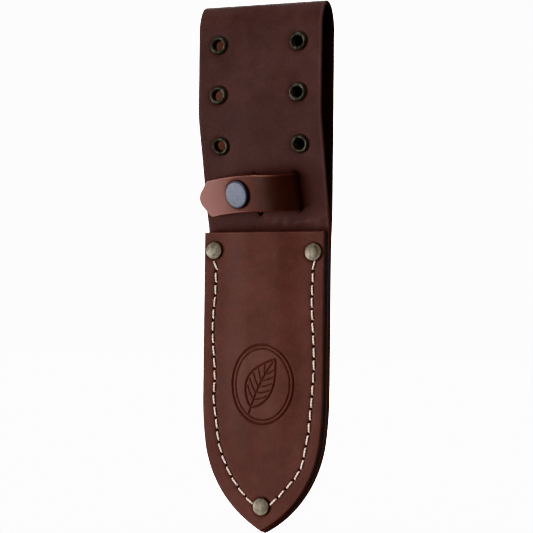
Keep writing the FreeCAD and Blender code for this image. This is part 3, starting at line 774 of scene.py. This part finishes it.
def folded_strip():
    """The whole strip as one thick sheet, with its eyelet holes and slots cut out."""
    path, headings = strip_path()
    core = stations(0.0, (14.0, 1.5), (34.5, 0.95), (36.0, 0.9))
    apex = int(np.argmax(path[:, 1]))
    xs = np.array([across(max(0.12, float(strip_half(h))), core) for h in path[:, 1]])
    halves = np.abs(xs[:, :1])
    heights = np.repeat(path[:, 1:], xs.shape[1], 1)
    drop = rounding(halves - np.abs(xs), EDGE_ROUNDING)
    depth = np.zeros_like(xs)
    shade = np.zeros_like(xs)
    for span, dents_and_shade in ((slice(0, apex), front_dents_and_painted_shade), (slice(apex, None), rear_dents)):
        depth[span], shade[span] = dents_and_shade(xs[span], heights[span])
    rows = np.arange(len(path))[:, None]
    depth *= smooth(np.abs(rows - apex) / 14.0)
    shade += 0.28 * bump(halves - np.abs(xs), 0.9)
    xs = xs * (1 + 0.003 * waves(rows, 0.0, 60.0, 9))

    half_thickness = STRIP_THICKNESS / 2 - drop
    outer = np.stack([xs, *beside(path, headings, half_thickness - np.maximum(depth, -0.1))], 2)
    inner = np.stack([xs, *beside(path, headings, -half_thickness)], 2)
    # Painted shade darkens the flesh side inside the loop towards its right; a faint painted highlight
    # lightens it at its left.
    inside_loop = smooth((heights - POCKET_HEIGHT - 12.0) / 12.0)
    painted_loop_shade = inside_loop * (0.12 - 1.0 * smooth((xs + 22.0) / 20.0))
    materials = [strip_leather, flesh_side, black_edge, black_edge, black_edge]
    piece = thick_sheet("folded_strip", outer, inner, materials, shade, painted_loop_shade)
    cutters = [eyelet_cutter(seat) for seat in eyelets.values()]
    cutters += [slot_cutter(u, length) for u, length in SLOTS.items()]
    cut(piece, cutters)
    finish_piece(piece, "sheath", "back_strip")


# Embossed leaf in an oval, pressed into the pocket's front

EMBLEM = (1.2, 82.6)
OVAL_HALF_WIDTH = 18.6
OVAL_HALF_HEIGHT = 22.4


def ellipse(half_width, half_height):
    angle = np.linspace(0, 2 * math.pi, 97)
    return np.stack([EMBLEM[0] + half_width * np.cos(angle), EMBLEM[1] + half_height * np.sin(angle)], 1)


def leaf_curve(bow):
    """Points from the leaf's base to its tip, bowed to one side."""
    along = np.linspace(0.0, 1.0, 41)
    length, lean, foot = 31.0, 62.0, 13.5
    base = np.array([EMBLEM[0] - foot * cos(lean) * 1.05, EMBLEM[1] - foot * sin(lean) * 1.08])
    direction = np.array([cos(lean), sin(lean)])
    side = np.array([-sin(lean), cos(lean)])
    width = bow * np.sin(np.pi * along ** 0.82) ** 0.9
    sweep = 1.4 * np.sin(np.pi * along)
    return base + direction * (length * along)[:, None] + side * (width + sweep)[:, None]


def emblem_lines():
    """(line, half width) of every pressed line."""
    lines = [
        (ellipse(OVAL_HALF_WIDTH, OVAL_HALF_HEIGHT), 0.55),
        (ellipse(OVAL_HALF_WIDTH - 2.2, OVAL_HALF_HEIGHT - 2.2), 0.34),
        (leaf_curve(8.2), 0.48),
        (leaf_curve(-8.2), 0.48),
    ]
    rib = leaf_curve(0.0)
    stem = rib[0] - (rib[1] - rib[0]) * np.array([[5.0], [2.5]])
    lines.append((np.concatenate([stem, rib[:-3]]), 0.42))
    for edge in (leaf_curve(7.0), leaf_curve(-7.0)):
        for start in range(6, 31, 5):
            reach = start + 7
            ends = rib[start], edge[reach]
            steps = np.linspace(0.0, 1.0, 7)[:, None]
            lift = (rib[start + 2] - rib[start]) * np.sin(np.pi * steps) * 0.35
            lines.append((ends[0] + (ends[1] - ends[0]) * steps - lift, 0.30))
    return lines


def line_distance(x, z, line):
    nearest = np.full(x.shape, 1e9)
    for a, b in zip(line[:-1], line[1:]):
        run = b - a
        t = np.clip(((x - a[0]) * run[0] + (z - a[1]) * run[1]) / (run @ run), 0.0, 1.0)
        nearest = np.minimum(nearest, np.hypot(x - a[0] - t * run[0], z - a[1] - t * run[1]))
    return nearest


def emblem_press(x, z):
    """Depth and shade of the embossing."""
    depth, shade = np.zeros(x.shape), np.zeros(x.shape)
    near = np.hypot((x - EMBLEM[0]) / 23.0, (z - EMBLEM[1]) / 27.0) < 1.0
    px, pz = x[near], z[near]
    groove, tone = np.zeros(px.shape), np.zeros(px.shape)
    for line, half_width in emblem_lines():
        away = line_distance(px, pz, line)
        pressed = 1 - smooth((away - 0.35 * half_width) / (1.1 * half_width))
        groove = np.maximum(groove, (0.30 + 0.75 * half_width) * pressed)
        tone = np.maximum(tone, pressed)
        groove = groove - 0.10 * bump(away - 2.1 * half_width, 0.6 * half_width + 0.2)
    inward = 1 - np.hypot((px - EMBLEM[0]) / OVAL_HALF_WIDTH, (pz - EMBLEM[1]) / OVAL_HALF_HEIGHT)
    inside = smooth(12.0 * inward)
    depth[near] = groove + 0.14 * inside
    shade[near] = 0.06 * inside - 0.33 * tone
    return depth, shade


# Stitches

def seam(side):
    """(x, height) points down one seam, how far along it each is, and its sewn length."""
    heights = stations(STITCH_TOP, (STITCH_END_HEIGHT + 0.02, 0.2))
    points = np.stack([stitch_x(side, heights), heights], 1)
    travelled = np.concatenate([[0.0], np.cumsum(np.hypot(*np.diff(points, axis=0).T))])
    return points, travelled, travelled[-1] - STITCH_END_GAP


def seam_stitches(side):
    """(middle, direction) of each stitch along one seam."""
    points, travelled, length = seam(side)
    count = int((length - STITCH_REACH) // STITCH_PITCH) + 1
    spare = (length - STITCH_REACH - (count - 1) * STITCH_PITCH) / (count - 1)

    def place(run):
        return np.array([np.interp(run, travelled, points[:, k]) for k in (0, 1)])

    found = []
    for number in range(count):
        middle = STITCH_REACH / 2 + number * (STITCH_PITCH + spare)
        spot = place(middle)
        ahead = place(middle + 0.5) - spot
        found.append((spot, ahead / np.hypot(*ahead)))
    return found


def stitch_holes():
    """Where the thread goes into the leather: the gaps between stitches."""
    holes = []
    for side in (-1, 1):
        stitches = seam_stitches(side)
        for (spot, way), (following, _) in zip(stitches, stitches[1:]):
            holes.append(((spot + following) / 2, way))
    return holes


# Pocket front

def bulge(x, height):
    """How far the pocket's front is moulded forward over the blade."""
    sewn = np.maximum(1.0, stitch_half(np.minimum(height, STITCH_TOP)) - BULGE_EDGE_MARGIN)
    aside = (np.abs(x) / sewn - BULGE_FLAT_SHARE) / (1 - BULGE_FLAT_SHARE)
    low, high = BULGE_RISE
    return BULGE * (1 - smooth(aside)) * smooth((height - low) / (high - low))


def panel_row(height):
    """Column positions of one row of the front panel, finer at the seams and the edges."""
    half = max(0.15, float(panel_half(height)))
    core = stations(0.0, (22.0, 0.46), (28.0, 1.6)) / 29.3
    row = []
    for side in (-1, 1):
        seam_at = abs(float(stitch_x(side, max(height, 20.0))))
        if height < 20.0:
            seam_at *= half / float(panel_half(20.0))
        squeeze = min(1.0, half / 12.0)
        near_seam = seam_at + SEAM_STEPS * squeeze
        edge = half - EDGE_STEPS[::-1] * min(1.0, half / 8.0)
        between = near_seam[-1] + (edge[0] - near_seam[-1]) * np.array([0.33, 0.67])
        row.append(side * np.concatenate([core * near_seam[0], near_seam, between, edge]))
    return np.concatenate([row[0][:0:-1], row[1]])


def pocket_front():
    """The moulded front, pressed in by its seams, rivets and emblem, with painted shade in the
    stitch holes and round the rivets.
    """
    top = POCKET_HEIGHT
    heights = stations(
        0.0, (2.4, 0.3), (12.0, 0.7), (58.5, 0.75), (106.5, 0.46), (153.0, 0.75), (top - 1.25, 0.9)
    )
    heights = np.concatenate([heights, top - EDGE_STEPS[-2::-1]])
    x = np.array([panel_row(h) for h in heights])
    z = np.repeat(heights[:, None], x.shape[1], 1)
    half = np.abs(x[:, :1])
    slope = np.gradient(half[:, 0], heights)[:, None]
    aside = (half - np.abs(x)) / np.sqrt(1 + slope ** 2)
    below_top = top - z
    drop = rounding(aside, EDGE_ROUNDING) + rounding(below_top, 0.8 * EDGE_ROUNDING)
    depth = 0.10 * waves(x, z, 30.0, 21) + 0.05 * waves(x, z, 9.0, 22)
    shade = 0.22 * bump(aside, 0.55) * (z < top - 1.0) + 0.16 * bump(below_top, 0.8)
    for side in (-1, 1):
        away = np.abs(x - stitch_x(side, z))
        sewn = smooth((STITCH_TOP + 1 - z) / 3.0) * smooth((z - STITCH_END_HEIGHT - 2.0) / 3.0)
        depth += 0.34 * bump(away, 1.0) * sewn
        shade -= 0.26 * bump(away, 1.1) * sewn
    for (hole_x, hole_z), (way_x, way_z) in stitch_holes():
        along = (x - hole_x) * way_x + (z - hole_z) * way_z
        over = -(x - hole_x) * way_z + (z - hole_z) * way_x
        pit = np.exp(-(along / 0.75) ** 2 - ((over + 0.35 * along) / 0.62) ** 2)
        depth += 0.9 * pit
        # Painted shade in the stitch hole.
        shade -= 1.1 * pit
    for rivet_x, rivet_z in RIVETS.values():
        away = np.hypot(x - rivet_x, z - rivet_z)
        depth += 0.38 * smooth((7.4 - away) / 3.0)
        # Painted shade in a ring where the leather meets the rivet's cap.
        shade -= 0.75 * bump(away - RIVET_RADIUS, 0.75)
    pressed, tone = emblem_press(x, z)
    depth += pressed
    shade += tone
    lift = bulge(x, z)
    outer = np.stack([x, drop + np.maximum(depth, -0.12) - lift, z], 2)
    inner = np.stack([x, FRONT_THICKNESS - 0.5 * rounding(aside, 0.5) - lift, z], 2)
    materials = [pocket_leather, flesh_side, black_edge, black_edge, cut_edge]
    piece = thick_sheet("pocket_front", outer, inner, materials, np.clip(shade, -1.0, 1.0))
    finish_piece(piece, "sheath", "front_panel")


def welt(side):
    """One spacer between the front and the back, cut away where the blade slides."""
    above_rivet, inside_seam = 3.8, 4.2
    cavity_bottom = RIVETS["tip"][1] + RIVET_RADIUS + above_rivet
    heights = stations(WELT_TIP, (3.0, 0.35), (30.0, 0.8), (78.0, 1.2), (POCKET_HEIGHT, 4.0))
    rows = []
    for height in heights:
        half = max(0.1, float(welt_half(height)))
        reach = float(stitch_half(height)) - inside_seam
        inner = reach * smooth((height - cavity_bottom) / 6.0) if height > cavity_bottom else 0.0
        inner = max(0.0, min(inner, half - 1.0))
        steps = np.array([0.0, 0.08, 0.2, 0.4, 1.2]) * min(1.0, half / 3.0)
        rows.append(np.concatenate([[inner], half - steps[::-1]]))
    x = np.array(rows)
    z = np.repeat(heights[:, None], x.shape[1], 1)
    drop = rounding(x[:, -1:] - x, 0.38)
    front = np.stack([side * x, FRONT_THICKNESS + drop, z], 2)
    back = np.stack([side * x, WELT_BACK - drop, z], 2)
    if side < 0:
        front, back = front[:, ::-1], back[:, ::-1]
    name = side_name(side)
    materials = [flesh_side, flesh_side, black_edge, black_edge, brown_edge]
    piece = thick_sheet("welt_spacer_" + name, front, back, materials)
    finish_piece(piece, "sheath", "welt_" + name)


def tube(path, sides=8):
    """Points and faces of one ply along a path, narrower at its two ends."""
    ahead = np.gradient(path, axis=0)
    ahead /= np.linalg.norm(ahead, axis=1, keepdims=True)
    first = np.cross(ahead, np.array([0.0, 1.0, 0.0]))
    first /= np.linalg.norm(first, axis=1, keepdims=True)
    second = np.cross(ahead, first)
    angles = full_turn(sides)[:, None]
    radius = np.full(len(path), PLY_RADIUS)
    radius[[0, -1]] *= 0.35
    ring = first[:, None] * np.cos(angles) + second[:, None] * np.sin(angles)
    points = path[:, None] + radius[:, None, None] * ring
    last = (len(path) - 1) * sides
    faces = ring_faces(len(path), sides)
    faces += [tuple(range(sides))[::-1], tuple(range(last, last + sides))]
    return points.reshape(-1, 3), faces


def stitch_plies(spot, way, slant, reach, twist, front):
    """Paths of one stitch's two twisted plies, which arch between their holes."""
    turn_x, turn_z = way[0] * cos(slant) - way[1] * sin(slant), way[0] * sin(slant) + way[1] * cos(slant)
    share = np.linspace(-1.0, 1.0, 19)
    arch = 0.62 * (1 - np.abs(share) ** 5) - 0.75 * smooth((np.abs(share) - 0.8) / 0.2)
    surface, out = (0.34, -1.0) if front else (BACK - 0.3, 1.0)
    along = share * reach / 2
    for ply in (0.0, math.pi):
        angle = twist + ply + along / TWIST_LENGTH * 2 * math.pi
        aside = PLY_OFFSET * np.cos(angle)
        lift = arch + 0.8 * PLY_OFFSET * np.sin(angle)
        yield np.stack([
            spot[0] + along * turn_x - aside * turn_z,
            surface + out * lift,
            spot[1] + along * turn_z + aside * turn_x,
        ], 1)


def stitching(side):
    """One seam's stitches on both faces; the first one in front slants outwards."""
    points, faces = [], []
    total = 0
    for number, (spot, way) in enumerate(seam_stitches(side)):
        for front in (True, False):
            slant = random.normal(0.0, 2.0) + (4.0 if front else -4.0)
            if number == 0 and front:
                slant -= side * 16.0
            reach = STITCH_REACH * random.uniform(0.95, 1.03)
            twist = random.uniform(0, 2 * math.pi)
            for path in stitch_plies(spot, way, slant, reach, twist, front):
                ring, quads = tube(path)
                points.append(ring)
                faces += [tuple(total + corner for corner in quad) for quad in quads]
                total += len(ring)
    name = side_name(side)
    piece = make_object("stitching_" + name, np.concatenate(points), faces, [waxed_thread], sharp=60.0)
    finish_piece(piece, "sheath", "thread_" + name)


# Strap

# The flap's middle line turns out of the slot, over the root and the crown, then slopes
# down to its free end. The run is the stretch behind the strip.
RUN_RADIUS = 1.4
RUN_DEPTH = STRIP_THICKNESS + 0.1 + STRAP_THICKNESS / 2
ENTRY_RADIUS = 20.0
START_HEADING = 95.0
ROOT_LENGTH = 1.5
ROOT_RADIUS = 8.0
ROOT_TURN = 30.0
CROWN_RADIUS = 14.0
CROWN_TURN = 180.0 + STRAP_SLOPE - START_HEADING - ROOT_TURN


def strap_rise(u):
    """How far the flap's centre line is above the slot's middle."""
    left, right = STRAP_END_U + STRAP_POINT_LENGTH, STRAP_THICKNESS / 2
    middle, reach = (left + right) / 2, (right - left) / 2
    return STRAP_BOW * np.maximum(1 - ((u - middle) / reach) ** 2, 0.0)


def crown_end():
    """(u, w) where the flap's straight slope begins."""
    moves = [(ROOT_LENGTH,), (ROOT_RADIUS, ROOT_TURN), (CROWN_RADIUS, CROWN_TURN)]
    spots, _ = trace((0.0, STRAP_HINGE_W), START_HEADING, moves, [1.0] * 3)
    return spots[-1]


def snap_middle():
    """(u, w) of the flap's middle line at the snap."""
    u, w = crown_end()
    return SNAP_U, w - (u - SNAP_U) * tan(STRAP_SLOPE)


def snap_seat(drop):
    """Seat at the snap, drop below the flap's middle, that faces out of the flap."""
    u, w = snap_middle()
    u, w = u + drop * sin(STRAP_SLOPE), w - drop * cos(STRAP_SLOPE)
    seat = Seat(strap_seat.at(u, w, strap_rise(SNAP_U)))
    seat.out = -sin(STRAP_SLOPE) * strap_seat.right + cos(STRAP_SLOPE) * strap_seat.out
    seat.right = cos(STRAP_SLOPE) * strap_seat.right + sin(STRAP_SLOPE) * strap_seat.out
    seat.up = strap_seat.up
    return seat


def strap_sheet(name, path, headings, half_of, rise, dents_and_shade=None):
    """A strap along a path in the strap's frame; half_of gives each row's half width and
    rise is how far each row's middle is above the slot's."""
    run = np.concatenate([[0.0], np.cumsum(np.hypot(*np.diff(path, axis=0).T))])
    core = stations(0.0, (9.2, 0.7))
    v = np.array([across(max(0.12, float(half_of(run[-1] - s))), core) for s in run])
    half = np.abs(v[:, :1])
    slope = np.gradient(half[:, 0], run)[:, None]
    aside = (half - np.abs(v)) / np.sqrt(1 + slope ** 2)
    drop = rounding(aside, 0.55)
    along = np.repeat(run[:, None], v.shape[1], 1)
    depth = 0.07 * waves(along, v, 14.0, 31) + 0.03 * waves(along, v, 5.0, 32)
    shade = 0.42 * bump(aside, 0.5)
    rise = np.reshape(rise, (-1, 1))
    if dents_and_shade is not None:
        more, tone = dents_and_shade(path[:, :1] + 0 * v, v + rise)
        depth, shade = depth + more, shade + tone
    half_thickness = STRAP_THICKNESS / 2 - drop
    outer = strap_seat.at(*beside(path, headings, np.maximum(depth, -0.08) - half_thickness), v + rise)
    inner = strap_seat.at(*beside(path, headings, half_thickness), v + rise)
    materials = [strap_leather, flesh_side, brown_edge, brown_edge, brown_edge]
    return thick_sheet(name, outer, inner, materials, shade)


def flap_dents_and_painted_light(u, v):
    """Depth and shade of the flap's face: pressed in around the cap with a ring of painted shade,
    a painted highlight towards the free end, painted shade where it bends into the slot, and a
    painted highlight along the unfinished top edge between."""
    away = np.hypot((u - SNAP_U) / cos(STRAP_SLOPE), v - strap_rise(SNAP_U))
    # Painted shade in a ring round the cap.
    shade = -0.8 * bump(away - CAP_RADIUS, 0.9)
    # Painted highlight towards the free end; painted shade where the flap turns away into the slot.
    shade += 0.66 * (1 - smooth((u + 60.0) / 36.0)) - 0.80 * smooth((u + 34.0) / 25.0)
    # Painted highlight along the unfinished top edge.
    below_edge = strap_rise(u) + STRAP_HALF_WIDTH - v
    raw_lit_edge = smooth((u + 28.0) / 12.0) * (1 - smooth((u + 12.0) / 8.0))
    shade += 0.9 * raw_lit_edge * bump(below_edge - 0.2, 0.5)
    return 0.45 * smooth((9.6 - away) / 2.6), shade


def flap_half(left):
    """Half width of the flap where this much of it is left: a round point, a straight
    taper, and a soft corner into the full width."""
    slope = math.atan2(STRAP_HALF_WIDTH, STRAP_POINT_LENGTH)
    touch = STRAP_POINT_RADIUS * (1 - math.sin(slope))
    touch_half = STRAP_POINT_RADIUS * math.cos(slope)
    if left < touch:
        return math.sqrt(max(0.0, STRAP_POINT_RADIUS ** 2 - (STRAP_POINT_RADIUS - left) ** 2))
    share = (left - touch) / (STRAP_POINT_LENGTH / cos(STRAP_SLOPE) - touch)
    tapered = touch_half + (STRAP_HALF_WIDTH - touch_half) * share
    return STRAP_HALF_WIDTH - 0.5 * math.log1p(math.exp(2.0 * (STRAP_HALF_WIDTH - tapered)))


def retention_strap():
    """The run behind the strip and the flap, as one strap bent round at the slot."""
    straight = (crown_end()[0] - STRAP_END_U) / cos(STRAP_SLOPE)
    down = RUN_DEPTH - RUN_RADIUS
    entry_turn = START_HEADING - 90.0
    entry_length = ENTRY_RADIUS * math.radians(entry_turn)
    moves = [
        (down,), (RUN_RADIUS, 90.0), (SLOT_SPACING - 2 * RUN_RADIUS,), (RUN_RADIUS, 90.0),
        (down + STRAP_HINGE_W - entry_length,), (ENTRY_RADIUS, entry_turn),
        (ROOT_LENGTH,), (ROOT_RADIUS, ROOT_TURN), (CROWN_RADIUS, CROWN_TURN),
        (straight - STRAP_POINT_LENGTH - 1.0,), (STRAP_POINT_LENGTH + 0.4,), (0.6,),
    ]
    steps = [1.0, 0.5, 2.0, 0.5, 0.6, 0.6, 0.5, 0.5, 0.6, 0.7, 0.3, 0.06]
    path, headings = trace((-SLOT_SPACING, 0.0), -90.0, moves, steps)
    rise = strap_rise(path[:, 0]) * smooth(path[:, 1] / 2.0)
    piece = strap_sheet("retention_strap", path, headings, flap_half, rise, flap_dents_and_painted_light)
    away = strap_seat.out - 0.08 * strap_seat.right
    hinge = strap_seat.at(0.0, STRAP_HINGE_W, 0.0)
    start, end = to_row(np.array([hinge - 1.0 * away, hinge + 2.2 * away]))
    tuple(start)
    tuple(end)
    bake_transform(piece)
    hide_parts("strap_flap", "strap_back_run")


def tab_drop():
    """How far the tab's middle is below the flap's, at the snap."""
    return STRAP_THICKNESS + STUD_FLANGE + SNAP_CLEARANCE + SOCKET_THICKNESS


def strap_tab():
    """The strap's short end, which comes out of the left slot and carries the stud."""
    u, w = snap_middle()
    stud_u, stud_w = u + tab_drop() * sin(STRAP_SLOPE), w - tab_drop() * cos(STRAP_SLOPE)
    heading, bend, below, corner = 100.0, 2.6, 2.6, 5.0
    sloping = 180.0 + STRAP_SLOPE
    slope = tan(STRAP_SLOPE)
    bend_u = bend * (sin(sloping) - sin(heading))
    bend_w = bend * (cos(heading) - cos(sloping))
    gap = stud_w + (-SLOT_SPACING + bend_u - stud_u) * slope - STRAP_HINGE_W - bend_w
    root = gap / (sin(heading) - cos(heading) * slope)
    bend_end_u = -SLOT_SPACING + root * cos(heading) + bend_u
    beyond_stud = 5.0
    moves = [
        (below + root,), (bend, sloping - heading),
        ((bend_end_u - stud_u) / cos(STRAP_SLOPE) + beyond_stud,), (8.0, -STRAP_SLOPE), (0.4,), (0.3,),
    ]
    start = (-SLOT_SPACING - below * cos(heading), STRAP_HINGE_W - below * sin(heading))
    path, headings = trace(start, heading, moves, [0.6, 0.35, 0.6, 0.5, 0.2, 0.05])

    def half_of(left):
        inward = max(0.0, corner - left)
        return STRAP_HALF_WIDTH - corner + math.sqrt(corner ** 2 - inward ** 2)

    piece = strap_sheet("snap_tab", path, headings, half_of, np.full(len(path), TAB_RISE))
    finish_piece(piece, "sheath", "strap_tab")


# Metal

def arc(centre, radius, start, end, count=7):
    """Profile points (radius, out) along an arc."""
    angles = np.radians(np.linspace(start, end, count))
    return [(centre[0] + radius * math.cos(a), centre[1] + radius * math.sin(a)) for a in angles]


def dome(radius, edge, crown, count=9):
    """Shallow dome from the axis out to radius, from crown down to edge."""
    sphere = (radius ** 2 + (crown - edge) ** 2) / (2 * (crown - edge))
    reach = np.linspace(0.0, radius, count)[1:]
    return [(r, crown - sphere + math.sqrt(sphere ** 2 - r * r)) for r in reach]


def lathe(name, profile, seat, material, closed, segments):
    """A turned part. The profile runs from front to back; unless it is closed it starts
    and ends on the axis."""
    angles = full_turn(segments)
    radius, out = np.array(profile).T[:, :, None]
    points = seat.at(radius * np.cos(angles), out + 0 * angles, radius * np.sin(angles)).reshape(-1, 3)
    faces = [(a, d, c, b) for a, b, c, d in ring_faces(len(profile), segments, closed)]
    if not closed:
        tip, last = len(points), len(points) - segments
        on_axis = [seat.origin + end[1] * seat.out for end in (profile[0], profile[-1])]
        points = np.concatenate([points, on_axis])
        for k in range(segments):
            following = (k + 1) % segments
            faces += [(tip, k, following), (tip + 1, last + following, last + k)]
    return make_object(name, points, faces, [material], sharp=28.0)


def turned(name, profile, seat, slot, node_name, body="sheath", closed=False, segments=64):
    """A turned metal piece that stands for a node."""
    piece = lathe(name, profile, seat, METALS[slot], closed, segments)
    finish_piece(piece, body, node_name)


def eyelet(name, seat):
    """A flanged eyelet with a rolled rear end, and its washer."""
    lip, crown = 0.35, 1.1
    front, back = -STRIP_THICKNESS, -STRIP_THICKNESS - 0.5
    profile = [
        (EYELET_HOLE, lip - 0.6), (EYELET_HOLE, lip), (3.12, 0.66), (3.4, 0.93), (3.8, crown),
        (4.2, crown + 0.02), (4.6, 0.93), (4.95, 0.62), (5.2, 0.26), (EYELET_FLANGE, -0.05), (5.1, -0.3),
        (3.48, -0.35), (3.46, back + 0.1), (3.5, back - 0.05), (4.5, back - 0.05), (4.62, back - 0.3),
        (4.4, back - 0.52), (3.9, back - 0.6), (3.3, back - 0.5), (EYELET_HOLE, back - 0.2),
    ]
    turned("grommet_" + name, profile, seat, "eyelet_metal", "eyelet_" + name, closed=True)
    ring = [(3.56, front), (5.1, front), (5.2, front - 0.1), (5.2, front - 0.38), (5.08, back), (3.56, back)]
    turned("grommet_washer_" + name, ring, seat, "eyelet_metal", "eyelet_washer_" + name, closed=True)


def rivet(name, x, height):
    """A rivet's domed cap on the pocket's front, and its base and post from behind."""
    cap = dome(4.45, 1.18, 1.78) + arc((4.45, 0.63), 0.55, 78, -8, 6) + [(4.85, 0.12), (4.6, 0.0)]
    turned("rivet_head_" + name, cap, Seat((x, 0.0, height)), "rivet_metal", "rivet_cap_" + name)
    base = dome(3.9, 0.62, 0.8) + [(4.25, 0.52), (4.5, 0.26), (4.48, 0.02), (1.6, 0.0), (1.6, -BACK + 0.1)]
    back = Seat((x, BACK, height), outward=1)
    turned("rivet_base_" + name, base, back, "rivet_metal", "rivet_post_" + name)


def snap():
    """The snap's cap and socket on the flap, and its stud and post on the tab."""
    half, through = STRAP_THICKNESS / 2, -STRAP_THICKNESS
    cap = dome(6.8, 2.0, 2.28) + [
        (7.15, 1.9), (7.45, 1.68), (7.7, 1.32), (7.85, 0.9), (CAP_RADIUS, 0.45), (7.84, 0.12), (7.6, -0.05),
        (2.0, -0.05), (1.9, -0.2), (1.9, through),
    ]
    turned("snap_button", cap, snap_seat(-half), "snap_metal", "snap_cap", "strap", segments=96)
    rim = -SOCKET_THICKNESS
    socket = [
        (0.6, -0.5), (3.2, -0.5), (3.4, -0.75), (3.4, -2.1), (3.6, rim), (5.3, rim), (5.9, -2.1),
        (6.2, -1.6), (6.2, -0.1), (6.1, 0.0), (0.6, 0.0),
    ]
    turned("snap_cup", socket, snap_seat(half), "snap_metal", "snap_socket", "strap")
    on_tab = snap_seat(tab_drop() - half)
    stud = [
        (1.2, 2.5), (1.8, 2.42), (2.2, 2.15), (2.3, 1.95), (1.92, 1.5), (1.9, 0.95), (2.2, 0.82),
        (4.5, 0.72), (4.8, 0.5), (4.8, 0.08), (4.6, 0.0),
    ]
    turned("snap_post_head", stud, on_tab, "snap_metal", "snap_stud")
    post = [
        (1.7, 0.0), (1.7, through), (3.9, through), (4.0, through - 0.1), (4.0, through - 0.45),
        (3.7, through - 0.6),
    ]
    turned("snap_post_base", post, on_tab, "snap_metal", "snap_post")


# Stage

WHITE = (1.0, 1.0, 1.0, 1.0)
FLOOR_GLOW = 2.2
FLOOR_REACH = 6000.0
BACKDROP_SEEN = 3.0
BACKDROP_LIGHT = 0.25


def floor():
    """A pale floor just below the tip. It neither lights nor shades the sheath, because
    the studio's light comes from low down."""
    material, tree, shader = new_material("studio_floor")
    speck = noise_node(tree, object_coordinates(tree), 6.0, 3.0)
    colour = ramp(tree, speck, (0.3, (0.86, 0.86, 0.86)), (0.7, (0.90, 0.90, 0.90)))
    glow = {"Emission Color": WHITE, "Emission Strength": FLOOR_GLOW}
    paint(tree, shader, colour, {"Roughness": 0.9, **glow})
    corners = [(-1, -1), (1, -1), (1, 1), (-1, 1)]
    points = [(x * FLOOR_REACH, y * FLOOR_REACH, STRIP_TIP - 0.4) for x, y in corners]
    piece = make_object("studio_floor", points, [(0, 1, 2, 3)], [material])
    piece.visible_diffuse = False
    piece.visible_glossy = False
    piece.visible_shadow = False


# Each light's direction as seen from the sheath, its strength and how wide it is
LIGHTS = {
    "key": ((-0.90, -0.66, -0.18), 2.95, 36.0),
    "front": ((-0.30, -1.0, -0.20), 1.25, 60.0),
    "overhead": ((0.0, -0.1, 1.0), 1.9, 60.0),
    "rear": ((-0.4, 1.0, 0.45), 3.0, 50.0),
    "right": ((1.0, 0.35, 0.25), 1.0, 50.0),
}


def lights():
    """Wide, soft studio lights, as suns so that they reach every part evenly."""
    for name, (direction, strength, width) in LIGHTS.items():
        light = bpy.data.lights.new(name, "SUN")
        light.energy = strength
        light.angle = math.radians(width)
        lamp = bpy.data.objects.new(name, light)
        lamp.rotation_euler = Vector(direction).to_track_quat("Z", "Y").to_euler()
        bpy.context.scene.collection.objects.link(lamp)


def backdrop():
    """A white surround that the camera sees brighter than the sheath does."""
    world = bpy.data.worlds.new("studio")
    world.use_nodes = True
    tree = world.node_tree
    lighting, seen = (
        node(tree, "ShaderNodeBackground", Strength=strength, Color=WHITE)
        for strength in (BACKDROP_LIGHT, BACKDROP_SEEN)
    )
    path = node(tree, "ShaderNodeLightPath")
    mixer = node(tree, "ShaderNodeMixShader")
    ways = (path.outputs["Is Camera Ray"], lighting.outputs[0], seen.outputs[0])
    for output, socket in zip(ways, mixer.inputs):
        tree.links.new(output, socket)
    tree.links.new(mixer.outputs[0], tree.nodes["World Output"].inputs["Surface"])
    bpy.context.scene.world = world
    bpy.context.scene.view_settings.view_transform = "Khronos PBR Neutral"


CAMERA_AZIMUTH = 23.0
CAMERA_ELEVATION = -2.0
CAMERA_ROLL = 0.7
CAMERA_TARGET = (0.0, 0.003875, -0.1105)
CAMERA_DISTANCE = 1.0
CAMERA_LENS = 118.5
SENSOR_WIDTH = 36.0


def camera():
    """The camera in front of the sheath, a little to its right and a little below."""
    turn = rotation(CAMERA_AZIMUTH, "Z") @ rotation(90.0 - CAMERA_ELEVATION, "X") @ rotation(CAMERA_ROLL, "Z")
    place = Vector(CAMERA_TARGET) + turn @ Vector((0.0, 0.0, CAMERA_DISTANCE))
    lens = bpy.data.cameras.new("camera")
    lens.lens = CAMERA_LENS
    lens.sensor_width = SENSOR_WIDTH
    lens.clip_start = 0.01
    view = bpy.data.objects.new("camera", lens)
    view.matrix_world = Matrix.Translation(place) @ turn.to_4x4()
    bpy.context.scene.collection.objects.link(view)
    bpy.context.scene.camera = view


camera()
lights()
backdrop()
floor()
folded_strip()
pocket_front()
for side in (-1, 1):
    welt(side)
    stitching(side)
retention_strap()
strap_tab()
for eyelet_name, eyelet_seat in eyelets.items():
    eyelet(eyelet_name, eyelet_seat)
for rivet_name, (rivet_x, rivet_height) in RIVETS.items():
    rivet(rivet_name, rivet_x, rivet_height)
snap()
